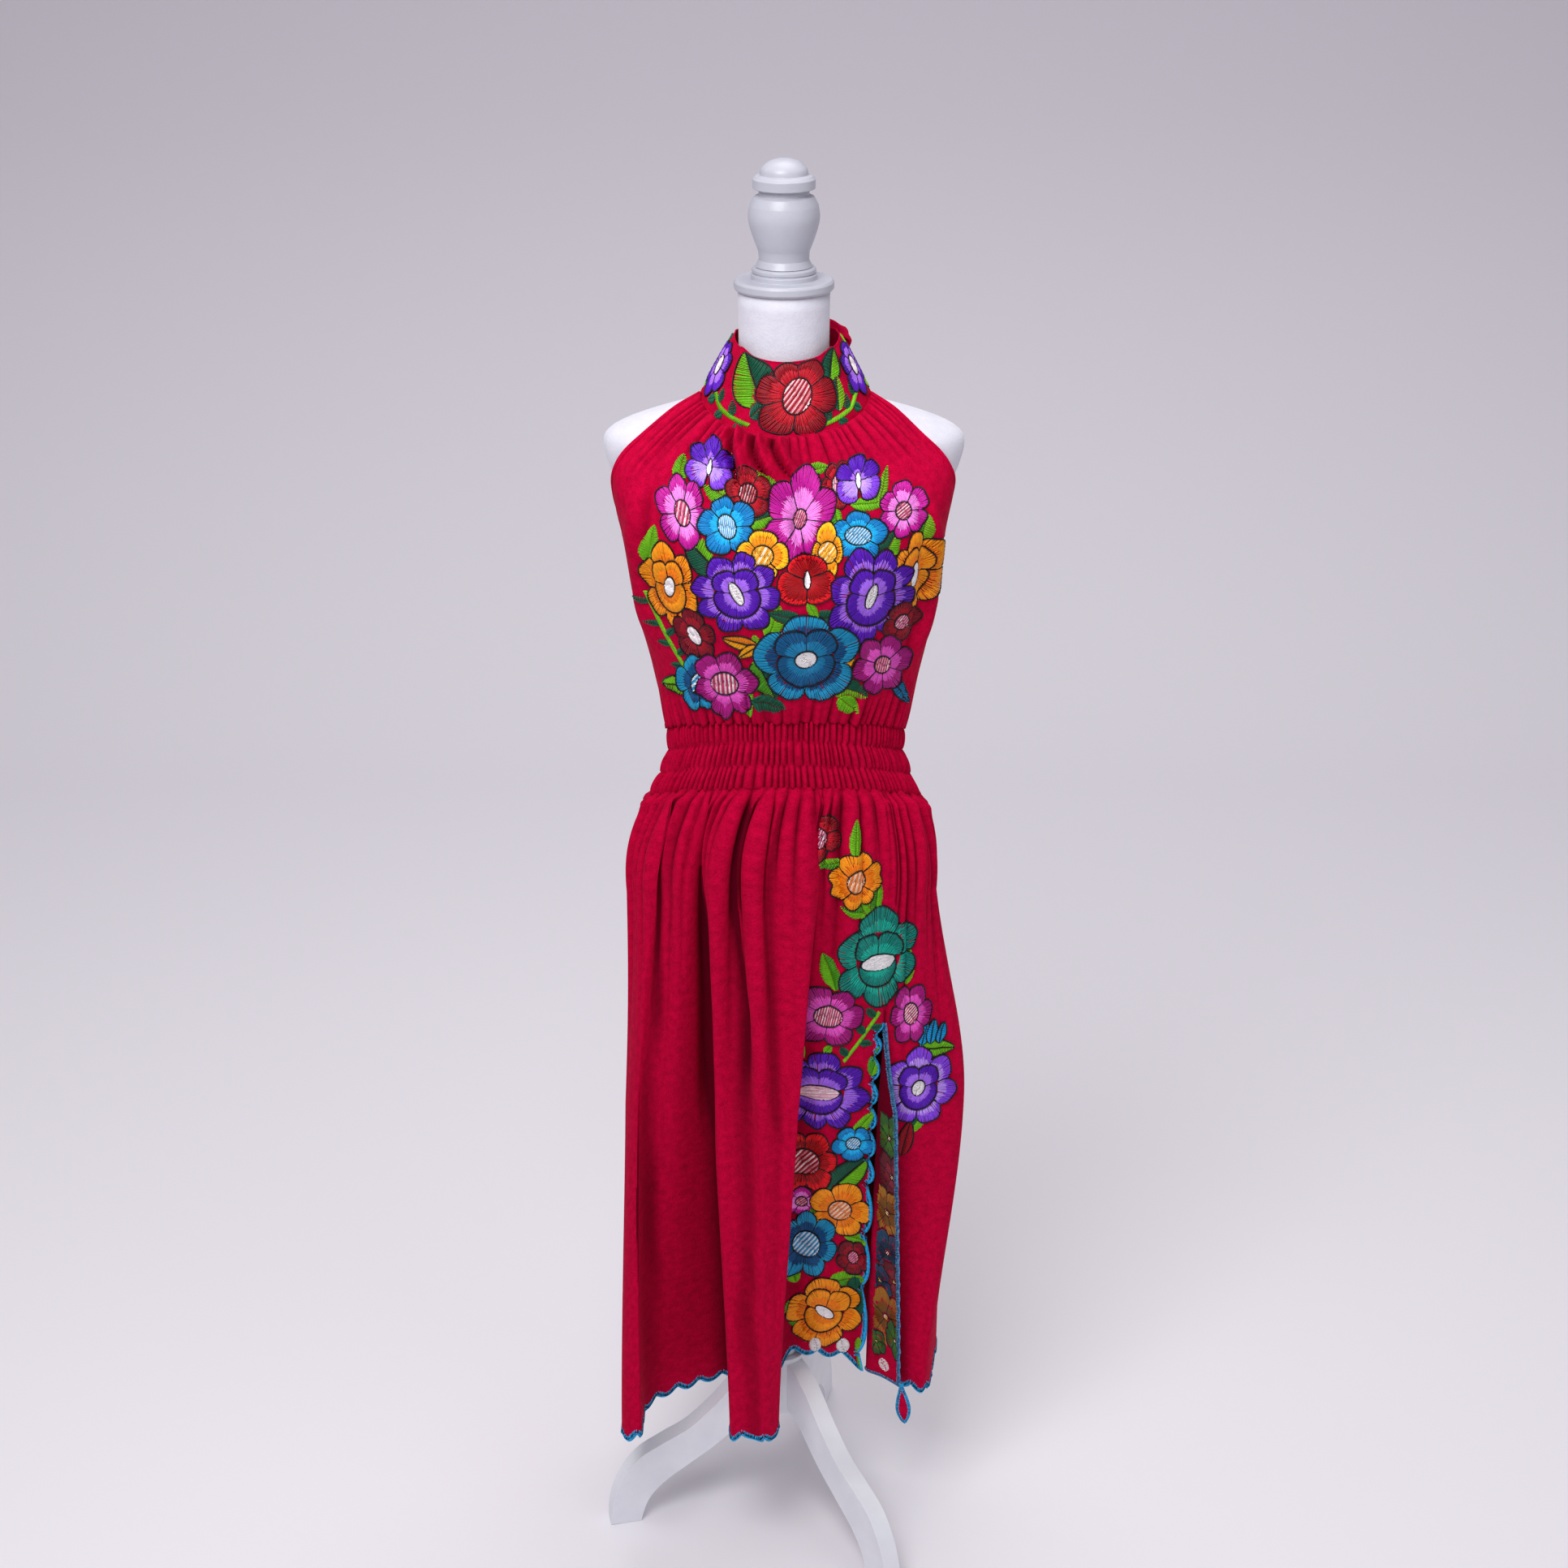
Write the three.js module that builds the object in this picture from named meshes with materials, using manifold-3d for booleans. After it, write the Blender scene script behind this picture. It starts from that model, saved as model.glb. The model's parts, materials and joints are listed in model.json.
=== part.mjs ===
// High-neck halter dress with a shirred waist, standing on a limbless dress form with a wooden tripod.
// Millimetres, +Z up. The front of the dress faces -Y, and +X is the viewer's right.
import * as THREE from "three";
import { mergeVertices } from "three/addons/utils/BufferGeometryUtils.js";
import Module from "manifold-3d";

const wasm = await Module();
wasm.setup();

// Driving dimensions
const CLOTH = 1.3; // cotton cloth with its embroidery, as a wall
const SEAM = 0.3; // gap between two sewn pieces
const HEM_HEIGHT = 178; // nominal height of the skirt's lower edge
const SCALLOP = 29; // length of one scallop along the hem
const SCALLOP_DEPTH = 8;
const POLE_RADIUS = 15.5;
const HUB_RADIUS = 24;
const HUB_BOTTOM = 137;
const HUB_TOP = 216;
const BOARD = 22; // thickness of a leg's board
const FORM_BOTTOM = 800;
const NECK_TOP = 1491;
const DISC_RADIUS = 50;
const DISC_THICKNESS = 11;

const COLOURS = {
  cloth: 0xd8123a,
  jersey: 0xdedce4,
  paint: 0xeef2f8,
};

const dress = new THREE.Group();
dress.name = "dress_on_form";

function addPiece(name, geometry, colour, roughness) {
  const material = new THREE.MeshStandardMaterial({ color: colour, roughness, metalness: 0 });
  const mesh = new THREE.Mesh(geometry, material);
  mesh.name = name;
  dress.add(mesh);
  return mesh;
}

// Rings round the body. A ring's angle is 0 at centre front, a quarter turn at the right side,
// half a turn at centre back. left and right are half widths, front and back are depths,
// sideY is where the sides lie, and the three z values are heights at front, side and back.
function ringPoint(row, angle) {
  const across = Math.sin(angle);
  const ahead = Math.cos(angle);
  const half = across < 0 ? row.left : row.right;
  const depth = ahead > 0 ? -row.front - row.sideY : row.sideY - row.back;
  const rise = ahead > 0 ? row.zFront - row.zSide : row.zSide - row.zBack;
  return new THREE.Vector3(half * across, row.sideY + depth * ahead, row.zSide + rise * ahead);
}

function mix(a, b, share) {
  return a + (b - a) * share;
}

// A row between the rows of a table: position 2.25 is a quarter of the way from row 2 to row 3.
function rowBetween(rows, position) {
  const first = Math.min(Math.floor(position), rows.length - 2);
  const share = position - first;
  const [above, below] = [rows[first], rows[first + 1]];
  return Object.fromEntries(
    Object.keys(above).map((key) => [key, mix(above[key], below[key], share)]),
  );
}

function grid(rowCount, columnCount, pointAt) {
  return Array.from({ length: rowCount + 1 }, (_, j) =>
    Array.from({ length: columnCount + 1 }, (_, i) => pointAt(j, i)),
  );
}

// Outward normals of a grid whose rows run down and whose columns run to the viewer's right.
// parted(j, i) tells that the cloth is slit between columns i and i + 1 in row j.
function gridNormals(points, parted = () => false) {
  const last = points.length - 1;
  const end = points[0].length - 1;
  const normals = [];
  for (let j = 0; j <= last; j++) {
    normals.push([]);
    for (let i = 0; i <= end; i++) {
      const row = points[j];
      if (i > 0 && !parted(j, i - 1) && row[i].distanceTo(row[i - 1]) < 1e-3) {
        normals[j].push(normals[j][i - 1]);
        continue;
      }
      let right = parted(j, i) ? i : Math.min(i + 1, end);
      while (right < end && right > i && row[right].distanceTo(row[i]) < 1e-3) right++;
      const left = i > 0 && !parted(j, i - 1) ? i - 1 : i;
      const down = points[Math.min(j + 1, last)][i].clone().sub(points[Math.max(j - 1, 0)][i]);
      normals[j].push(down.cross(row[right].clone().sub(row[left])).normalize());
    }
  }
  return normals;
}

// Normals turned level in the first and last rows, so that a seam keeps its height.
function levelSeams(normals) {
  const last = normals.length - 1;
  return normals.map((row, j) =>
    row.map((n) => (j === 0 || j === last ? new THREE.Vector3(n.x, n.y, 0).normalize() : n)),
  );
}

// Normals turned straight out sideways in the first and last columns, where two panels meet.
function squareSides(points, normals, firstRow = 0) {
  const last = normals[0].length - 1;
  const sideways = (j, i) => new THREE.Vector3(Math.sign(points[j][i].x), 0, 0);
  return normals.map((row, j) =>
    row.map((n, i) => (j >= firstRow && (i === 0 || i === last) ? sideways(j, i) : n)),
  );
}

// Normals of a panel with level seams above and below and square seams at its sides.
function panelNormals(points, firstSideRow = 0) {
  return squareSides(points, levelSeams(gridNormals(points)), firstSideRow);
}

function moved(points, normals, distanceAt) {
  return points.map((row, j) =>
    row.map((p, i) => p.clone().addScaledVector(normals[j][i], distanceAt(j, i))),
  );
}

function geometryOf(triangles) {
  const geometry = new THREE.BufferGeometry();
  geometry.setAttribute("position", new THREE.Float32BufferAttribute(triangles, 3));
  const merged = mergeVertices(geometry, 1e-4);
  merged.computeVertexNormals();
  return merged;
}

// A closed wall between an outer and an inner grid. The inner grid may have fewer columns.
// open(j, i) tells which cells are left out.
function wall(outer, inner, open = () => false) {
  const rows = outer.length - 1;
  const columns = outer[0].length - 1;
  const innerColumns = inner[0].length - 1;
  const ratio = columns / innerColumns;
  const near = (i) => Math.round(i / ratio);
  const triangles = [];
  const face = (...corners) => {
    const [a, b, c] = corners;
    const flat = a.distanceTo(b) < 1e-3 || b.distanceTo(c) < 1e-3 || c.distanceTo(a) < 1e-3;
    if (!flat) for (const p of corners) triangles.push(p.x, p.y, p.z);
  };
  const quad = (a, b, c, d) => {
    face(a, b, c);
    face(a, c, d);
  };
  const cloth = (j, i) => j >= 0 && i >= 0 && j < rows && i < columns && !open(j, i);
  for (let j = 0; j < rows; j++)
    for (let i = 0; i < columns; i++) {
      if (!cloth(j, i)) continue;
      const [m, n] = [near(i), near(i + 1)];
      quad(outer[j][i], outer[j + 1][i], outer[j + 1][i + 1], outer[j][i + 1]);
      if (n > m) quad(inner[j][m], inner[j][n], inner[j + 1][n], inner[j + 1][m]);
      if (!cloth(j - 1, i)) quad(outer[j][i], outer[j][i + 1], inner[j][n], inner[j][m]);
      if (!cloth(j + 1, i))
        quad(outer[j + 1][i + 1], outer[j + 1][i], inner[j + 1][m], inner[j + 1][n]);
      if (!cloth(j, i - 1)) quad(outer[j + 1][i], outer[j][i], inner[j][m], inner[j + 1][m]);
      if (!cloth(j, i + 1))
        quad(outer[j][i + 1], outer[j + 1][i + 1], inner[j + 1][n], inner[j][n]);
    }
  return geometryOf(triangles);
}

// A closed solid through rings of equal point count, with a flat cap at each end.
function loft(rings) {
  const triangles = [];
  const count = rings[0].length;
  const face = (...corners) => {
    for (const p of corners) triangles.push(p.x, p.y, p.z);
  };
  const centre = (ring) =>
    ring.reduce((sum, p) => sum.add(p), new THREE.Vector3()).divideScalar(ring.length);
  const top = centre(rings[0]);
  const bottom = centre(rings[rings.length - 1]);
  for (let i = 0; i < count; i++) {
    const k = (i + 1) % count;
    for (let j = 0; j < rings.length - 1; j++) {
      face(rings[j][i], rings[j + 1][i], rings[j + 1][k]);
      face(rings[j][i], rings[j + 1][k], rings[j][k]);
    }
    face(top, rings[0][i], rings[0][k]);
    face(bottom, rings[rings.length - 1][k], rings[rings.length - 1][i]);
  }
  return geometryOf(triangles);
}

// Gathers: a rounded wave with one crest to each gather, from -1 to 1.
function gatherWave(turns) {
  return Math.cos(2 * Math.PI * turns);
}

// Dress form: jersey-covered torso and neck, one row to each level
const FORM_SIDES = 28;
const FORM_LEVELS = [
  { z: NECK_TOP, half: 46, front: 46, back: 46 },
  { z: 1420, half: 46, front: 46, back: 46 },
  { z: 1402, half: 53, front: 46, back: 49 },
  { z: 1389, half: 68, front: 42.5, back: 55 },
  { z: 1383, half: 81, front: 42.5, back: 60 },
  { z: 1376, half: 103, front: 43.5, back: 65 },
  { z: 1364, half: 146, front: 59, back: 77 },
  { z: 1352, half: 175, front: 73, back: 84 },
  { z: 1338, half: 184, front: 85, back: 91 },
  { z: 1312, half: 178, front: 97, back: 98 },
  { z: 1275, half: 164, front: 109, back: 103 },
  { z: 1215, half: 156, front: 117, back: 101 },
  { z: 1150, half: 143, front: 105, back: 93 },
  { z: 1090, half: 128, front: 86, back: 86 },
  { z: 1040, half: 117, front: 76.5, back: 82 },
  { z: 1000, half: 117.5, front: 77, back: 83.5 },
  { z: 950, half: 129, front: 80, back: 91 },
  { z: 880, half: 145, front: 83, back: 102 },
  { z: 815, half: 149, front: 82, back: 102 },
  { z: FORM_BOTTOM, half: 142, front: 76, back: 95 },
];

function formRing(level) {
  const row = {
    left: level.half,
    right: level.half,
    front: level.front,
    back: level.back,
    sideY: 0,
    zFront: level.z,
    zSide: level.z,
    zBack: level.z,
  };
  return Array.from({ length: FORM_SIDES }, (_, i) => {
    return ringPoint(row, (2 * Math.PI * i) / FORM_SIDES);
  });
}

addPiece("form_torso", loft(FORM_LEVELS.map(formRing)), COLOURS.jersey, 0.9);

// Collar: a standing band that leans to the neck, open at centre back under the bow
const COLLAR_ROWS = [
  { left: 50, right: 56, front: 56, back: 54, sideY: 0, zFront: 1431, zSide: 1446, zBack: 1446 },
  { left: 59, right: 64, front: 61, back: 57, sideY: 0, zFront: 1413, zSide: 1432, zBack: 1432 },
  { left: 72, right: 76, front: 69.5, back: 60, sideY: 0, zFront: 1388, zSide: 1409, zBack: 1413 },
  { left: 83.5, right: 87, front: 78, back: 66, sideY: 0, zFront: 1363, zSide: 1387, zBack: 1396 },
];
const COLLAR_COLUMNS = 36;
const COLLAR_OPENING = 0.05; // radians from centre back to each end

function collarPoint(j, i) {
  const reach = Math.PI - COLLAR_OPENING;
  return ringPoint(COLLAR_ROWS[j], mix(-reach, reach, i / COLLAR_COLUMNS));
}

const collarOuter = grid(COLLAR_ROWS.length - 1, COLLAR_COLUMNS, collarPoint);
const collarInner = moved(collarOuter, levelSeams(gridNormals(collarOuter)), () => -CLOTH);
addPiece("collar", wall(collarOuter, collarInner), COLOURS.cloth, 0.8);

// Bodice front: from the collar seam to the first shirred row. The first nine rows end at the
// armholes, the rest at the side seams.
const BODICE_ROWS = [
  { left: 83.3, right: 86.8, front: 78, sideY: -2, zFront: 1362.6, zSide: 1386 },
  { left: 108, right: 108, front: 90, sideY: -32, zFront: 1345, zSide: 1379 },
  { left: 138, right: 134, front: 101, sideY: -46, zFront: 1320, zSide: 1358 },
  { left: 158, right: 154, front: 112, sideY: -57, zFront: 1294, zSide: 1342 },
  { left: 168, right: 165, front: 120, sideY: -59, zFront: 1268, zSide: 1327 },
  { left: 172, right: 170, front: 126, sideY: -52, zFront: 1243, zSide: 1311 },
  { left: 171.5, right: 169, front: 128, sideY: -34, zFront: 1218, zSide: 1287 },
  { left: 168.5, right: 167, front: 127, sideY: -16, zFront: 1194, zSide: 1263 },
  { left: 166, right: 165, front: 123, sideY: 2, zFront: 1170, zSide: 1236 },
  { left: 159, right: 161, front: 114, sideY: 4, zFront: 1142, zSide: 1185 },
  { left: 147, right: 152, front: 104, sideY: 4, zFront: 1115, zSide: 1130 },
  { left: 134, right: 139, front: 94, sideY: 3, zFront: 1089, zSide: 1072 },
  { left: 121, right: 124, front: 83, sideY: 0, zFront: 1065, zSide: 1022 },
];
const UNDERARM_ROW = 8;
const BODICE_COLUMNS = 60;
const BODICE_PLEATS = 20; // radiate from the collar seam
const COLLAR_PLEAT_HEIGHT = 2.2;
const WAIST_PLEAT_HEIGHT = 1.5;

function bodiceAngle(share) {
  return mix(-Math.PI / 2, Math.PI / 2, share);
}

function pleatHeight(j, i) {
  if (j === 0) return 0;
  const down = j / (BODICE_ROWS.length - 1);
  const crest = gatherWave((BODICE_PLEATS * i) / BODICE_COLUMNS);
  const fromCollar = COLLAR_PLEAT_HEIGHT * (1 - down) ** 1.6;
  const fromWaist = WAIST_PLEAT_HEIGHT * down ** 3;
  return (1 + crest) * (fromCollar + fromWaist) * 0.5;
}

function bodicePoint(j, i) {
  return ringPoint({ ...BODICE_ROWS[j], back: 0, zBack: 0 }, bodiceAngle(i / BODICE_COLUMNS));
}

const bodiceBase = grid(BODICE_ROWS.length - 1, BODICE_COLUMNS, bodicePoint);
const bodiceNormals = panelNormals(bodiceBase, UNDERARM_ROW);
const bodiceOuter = moved(bodiceBase, bodiceNormals, pleatHeight);
const BODICE_INNER_COLUMNS = BODICE_COLUMNS / 2;
const bodiceInnerBase = grid(BODICE_ROWS.length - 1, BODICE_INNER_COLUMNS, (j, i) =>
  bodicePoint(j, i * 2),
);
const bodiceInnerNormals = panelNormals(bodiceInnerBase, UNDERARM_ROW);
const bodiceInner = moved(bodiceInnerBase, bodiceInnerNormals, () => -CLOTH);
addPiece("bodice_front", wall(bodiceOuter, bodiceInner), COLOURS.cloth, 0.8);

// Bodice back: low, from side seam to side seam, meeting the front below the armholes
const BACK_DEPTHS = [
  { back: 105.5, zBack: 1196 },
  { back: 101, zBack: 1160 },
  { back: 96, zBack: 1116 },
  { back: 91, zBack: 1068 },
  { back: 86, zBack: 1022 },
];
const BACK_COLUMNS = 30;
const BACK_PLEATS = 10;
const SIDE_GAP = 0.0026; // radians at a side seam

function bodiceBackPoint(j, i) {
  const row = { ...BODICE_ROWS[UNDERARM_ROW + j], ...BACK_DEPTHS[j] };
  const start = Math.PI / 2 + SIDE_GAP;
  return ringPoint(row, mix(start, 2 * Math.PI - start, i / BACK_COLUMNS));
}

function backPleatHeight(j, i) {
  const crest = gatherWave((BACK_PLEATS * i) / BACK_COLUMNS);
  return (1 + crest) * 0.4 * (1 + j / 4);
}

const backBase = grid(BACK_DEPTHS.length - 1, BACK_COLUMNS, bodiceBackPoint);
const backNormals = panelNormals(backBase);
const backOuter = moved(backBase, backNormals, backPleatHeight);
const backInner = moved(backBase, backNormals, (j, i) => backPleatHeight(j, i) - CLOTH);
addPiece("bodice_back", wall(backOuter, backInner), COLOURS.cloth, 0.8);

// Waist band: four rows of elastic shirring that arch up at centre front, raised outside only
const BAND_ROWS = [
  { left: 121, right: 124, front: 83, back: 86, sideY: 0, zFront: 1064.7, zSide: 1021.7, zBack: 1021.7 },
  { left: 121.5, right: 124.5, front: 84, back: 87, sideY: 0, zFront: 1039, zSide: 993, zBack: 993 },
  { left: 131, right: 134, front: 86, back: 92, sideY: 0, zFront: 1013, zSide: 965, zBack: 965 },
  { left: 144, right: 146, front: 89, back: 97, sideY: 0, zFront: 988, zSide: 938, zBack: 938 },
];
const BAND_FRONT_GATHERS = 63;
const BAND_BACK_GATHERS = 45;
const GATHER_HEIGHT = 2.2;
const ROW_PINCH = 1; // height of a gather under the elastic thread
const BAND_STRIPS = 6;
const BAND_INNER_SHARE = 6; // outer columns to each inner one

function bandHalf(name, start, end, gathers) {
  const columns = gathers * 2;
  const pointOf = (count) => (j, i) =>
    ringPoint(rowBetween(BAND_ROWS, j / 2), mix(start, end, i / count));
  const base = grid(BAND_STRIPS, columns, pointOf(columns));
  const raised = (j, i) => (i % 2 ? (j % 2 ? GATHER_HEIGHT : ROW_PINCH) : 0);
  const outer = moved(base, panelNormals(base), raised);
  const innerColumns = columns / BAND_INNER_SHARE;
  const innerBase = grid(BAND_STRIPS, innerColumns, pointOf(innerColumns));
  const inner = moved(innerBase, panelNormals(innerBase), () => -CLOTH);
  addPiece(name, wall(outer, inner), COLOURS.cloth, 0.8);
}

bandHalf("waist_band_front", -Math.PI / 2, Math.PI / 2, BAND_FRONT_GATHERS);
bandHalf("waist_band_back", Math.PI / 2 + SIDE_GAP, 1.5 * Math.PI - SIDE_GAP, BAND_BACK_GATHERS);

// Skirt: each row is one fold, where it stands at the hip, at mid height and at the hem.
// rise is how far the hem there lies above its nominal height.
const HIP_SHARE = 0.14; // of the way down from the band to the hem
const MIDDLE_SHARE = 0.46;
const FRONT_FOLDS = [
  { name: "side seam left", hip: [-165, 2], middle: [-178, 2], hem: [-182, 4], rise: 0 },
  { name: "left corner", hip: [-165, -42], middle: [-178, -62], hem: [-190, -76], rise: -4 },
  { name: "left tip", hip: [-149, -84], middle: [-166, -104], hem: [-177, -128], rise: 0 },
  { name: "left crease", hip: [-133, -84], middle: [-151, -92], hem: [-165, -58], rise: 0 },
  { name: "left panel", hip: [-111, -98], middle: [-119, -84], hem: [-122, -30], rise: 0 },
  { name: "left valley", hip: [-91, -86], middle: [-93, -62], hem: [-84, -8], rise: 0 },
  { name: "ridge one", hip: [-71, -111], middle: [-76, -110], hem: [-63, -108], rise: 0 },
  { name: "dip one", hip: [-48, -104], middle: [-50, -116], hem: [-44, -122], rise: 0 },
  { name: "ridge two", hip: [-34, -113], middle: [-32, -124], hem: [-28, -128], rise: 0 },
  { name: "dip two", hip: [-18, -110], middle: [-14, -124], hem: [-14, -122], rise: 0 },
  { name: "fold edge", hip: [31, -120], middle: [17, -120], hem: [-3, -102], rise: 0 },
  { name: "tuck", hip: [22, -106], middle: [9, -92], hem: [-8, -56], rise: 24 },
  { name: "panel start", hip: [36, -101], middle: [21, -78], hem: [8, -29], rise: 50 },
  { name: "panel middle", hip: [62, -106], middle: [50, -86], hem: [38, -27], rise: 48 },
  { name: "panel end", hip: [92, -99], middle: [84, -82], hem: [75, -23], rise: 40 },
  { name: "slit edge left", hip: [117, -88], middle: [104, -77], hem: [95, -32], rise: 20 },
];
const LAPEL_FOLDS = [
  { name: "lapel edge", hip: [117, -88], middle: [125, -88], hem: [138, -48], rise: 14 },
  { name: "lapel middle", hip: [117, -88], middle: [114, -84], hem: [117, -28], rise: 14 },
  { name: "lapel fold", hip: [117, -88], middle: [106, -76], hem: [99, -16], rise: 14 },
];
const RIGHT_FOLDS = [
  { name: "slit edge right", hip: [117, -88], middle: [108, -68], hem: [104, -6], rise: 14 },
  { name: "right panel", hip: [134, -78], middle: [138, -70], hem: [130, -28], rise: 12 },
  { name: "right ridge", hip: [152, -60], middle: [172, -62], hem: [152, -46], rise: 12 },
  { name: "right tip", hip: [162, -34], middle: [204, -44], hem: [171, -46], rise: 10 },
  { name: "right side", hip: [165, -14], middle: [201, -16], hem: [183, -12], rise: 4 },
  { name: "side seam right", hip: [165, 2], middle: [189, 6], hem: [184, 6], rise: 2 },
];
const BACK_FOLDS = [
  { name: "side seam right", hip: [165, 2], middle: [189, 6], hem: [184, 6], rise: 2 },
  { name: "back ridge one", hip: [160, 44], middle: [186, 62], hem: [190, 74], rise: 0 },
  { name: "back valley one", hip: [140, 70], middle: [142, 72], hem: [132, 58], rise: 0 },
  { name: "back ridge two", hip: [118, 99], middle: [126, 116], hem: [126, 126], rise: 0 },
  { name: "back valley two", hip: [92, 102], middle: [84, 92], hem: [70, 70], rise: 0 },
  { name: "back ridge three", hip: [64, 121], middle: [58, 130], hem: [50, 138], rise: 0 },
  { name: "back valley three", hip: [33, 115], middle: [25, 112], hem: [14, 96], rise: 0 },
  { name: "back ridge four", hip: [2, 128], middle: [-8, 134], hem: [-20, 142], rise: 0 },
  { name: "back valley four", hip: [-34, 116], middle: [-38, 106], hem: [-46, 80], rise: 0 },
  { name: "back ridge five", hip: [-66, 121], middle: [-74, 128], hem: [-84, 134], rise: 0 },
  { name: "back valley five", hip: [-98, 98], middle: [-100, 88], hem: [-104, 66], rise: 0 },
  { name: "back ridge six", hip: [-128, 89], middle: [-144, 102], hem: [-156, 112], rise: 0 },
  { name: "back valley six", hip: [-152, 56], middle: [-156, 56], hem: [-158, 46], rise: 0 },
  { name: "side seam left", hip: [-165, 2], middle: [-178, 2], hem: [-182, 4], rise: 0 },
];
const SKIRT_TOP = { ...BAND_ROWS[3], zFront: 987.7, zSide: 937.7, zBack: 937.7 };
const FRONT_COLUMN_LENGTH = 12; // of hem to each column
const BACK_COLUMN_LENGTH = 17;
const SKIRT_LEVELS = [0, 0.03, 0.07, 0.14, 0.22, 0.33, 0.46, 0.58, 0.7, 0.82, 0.93, 0.98, 1];
const SLIT_LEVEL = 5; // index of the level at the slit's upper end
const SKIRT_GATHER_HEIGHT = 4;
const FRONT_SKIRT_GATHERS = 28;
const BACK_SKIRT_GATHERS = 20;

function spline(before, from, to, after, share) {
  const s = share;
  return (
    0.5 *
    (2 * from +
      (to - before) * s +
      (2 * before - 5 * from + 4 * to - after) * s * s +
      (3 * from - before - 3 * to + after) * s * s * s)
  );
}

// The value at a position along a list, on a smooth curve through its members.
function along(values, position) {
  const last = values.length - 1;
  const first = Math.min(Math.floor(position), last - 1);
  const at = (k) => values[Math.max(0, Math.min(last, k))];
  return spline(at(first - 1), at(first), at(first + 1), at(first + 2), position - first);
}

// Columns of a run of folds: the position along the folds, and the length of hem up to it.
function columnsOf(folds, columnLength) {
  const columns = [{ position: 0, length: 0 }];
  let length = 0;
  for (let k = 0; k < folds.length - 1; k++) {
    const [a, b] = [folds[k].hem, folds[k + 1].hem];
    const span = Math.hypot(b[0] - a[0], b[1] - a[1]);
    const count = Math.max(2, Math.round(span / columnLength));
    for (let n = 1; n <= count; n++)
      columns.push({ position: k + n / count, length: length + (span * n) / count });
    length += span;
  }
  return columns;
}

// The cloth's plan position at a fold position and a level, below the hip.
function planPoint(folds, position, level) {
  const at = (key, axis) => along(folds.map((fold) => fold[key][axis]), position);
  const pick = (axis) => {
    const [hip, middle, hem] = [at("hip", axis), at("middle", axis), at("hem", axis)];
    if (level < MIDDLE_SHARE) {
      const share = (level - HIP_SHARE) / (MIDDLE_SHARE - HIP_SHARE);
      return spline(2 * hip - middle, hip, middle, hem, share);
    }
    return spline(hip, middle, hem, hem, (level - MIDDLE_SHARE) / (1 - MIDDLE_SHARE));
  };
  return [pick(0), pick(1)];
}

// A point of the skirt: from the band's lower edge out to the hip's folds, then down the folds.
function skirtPoint(folds, column, angle, level) {
  const top = ringPoint(SKIRT_TOP, angle);
  const rise = along(folds.map((fold) => fold.rise), column.position);
  const scallop = SCALLOP_DEPTH * Math.abs(Math.sin((Math.PI * column.length) / SCALLOP));
  const hem = HEM_HEIGHT + rise + SCALLOP_DEPTH / 2 - scallop * (level > 0.98 ? 1 : 0.5);
  const height = mix(top.z, hem, level);
  const [x, y] = planPoint(folds, column.position, Math.max(level, HIP_SHARE));
  const out = level < HIP_SHARE ? 1 - (1 - level / HIP_SHARE) ** 2.4 : 1;
  return new THREE.Vector3(mix(top.x, x, out), mix(top.y, y, out), height);
}

// Small gathers below the band fade out at the hip.
function skirtGather(level, turns) {
  if (level >= HIP_SHARE || level === 0) return 0;
  const fade = Math.sin((Math.PI * level) / HIP_SHARE);
  return SKIRT_GATHER_HEIGHT * fade * 0.5 * (1 + gatherWave(turns));
}

// The front runs from the left seam to the slit, then over the turned-back lapel to the right seam.
const leftColumns = columnsOf(FRONT_FOLDS, FRONT_COLUMN_LENGTH);
const rightColumns = columnsOf(RIGHT_FOLDS, FRONT_COLUMN_LENGTH);
const leftLength = leftColumns[leftColumns.length - 1].length;
const frontLength = leftLength + rightColumns[rightColumns.length - 1].length;
const LAPEL_STEPS = 6;
const LAPEL_TURN = 0.16; // share of the height over which the lapel turns fully back
const slitColumn = leftColumns.length - 1;
const frontColumnCount = slitColumn + LAPEL_STEPS + rightColumns.length;

function frontSkirtPoint(j, i) {
  const level = SKIRT_LEVELS[j];
  const angleAt = (length) => mix(-Math.PI / 2, Math.PI / 2, length / frontLength);
  if (i <= slitColumn) {
    const column = leftColumns[i];
    return skirtPoint(FRONT_FOLDS, column, angleAt(column.length), level);
  }
  const right = i - slitColumn - 1 - LAPEL_STEPS;
  if (right > 0) {
    const length = rightColumns[right].length + leftLength;
    return skirtPoint(RIGHT_FOLDS, { ...rightColumns[right], length }, angleAt(length), level);
  }
  const angle = angleAt(leftLength);
  const slitTop = skirtPoint(FRONT_FOLDS, leftColumns[slitColumn], angle, level);
  if (j <= SLIT_LEVEL) return slitTop;
  const strip = [...LAPEL_FOLDS, RIGHT_FOLDS[0]];
  const position = ((strip.length - 1) * (i - slitColumn - 1)) / LAPEL_STEPS;
  const turned = skirtPoint(strip, { position, length: leftLength }, angle, level);
  const opened = Math.min(1, (level - SKIRT_LEVELS[SLIT_LEVEL]) / LAPEL_TURN);
  return new THREE.Vector3(
    mix(slitTop.x, turned.x, opened),
    mix(slitTop.y, turned.y, opened),
    turned.z,
  );
}

function turnsOfFront(i) {
  const left = leftColumns[Math.min(i, slitColumn)].length;
  const right = rightColumns[Math.max(0, i - slitColumn - 1 - LAPEL_STEPS)].length;
  return (FRONT_SKIRT_GATHERS * (left + right)) / frontLength;
}

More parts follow.
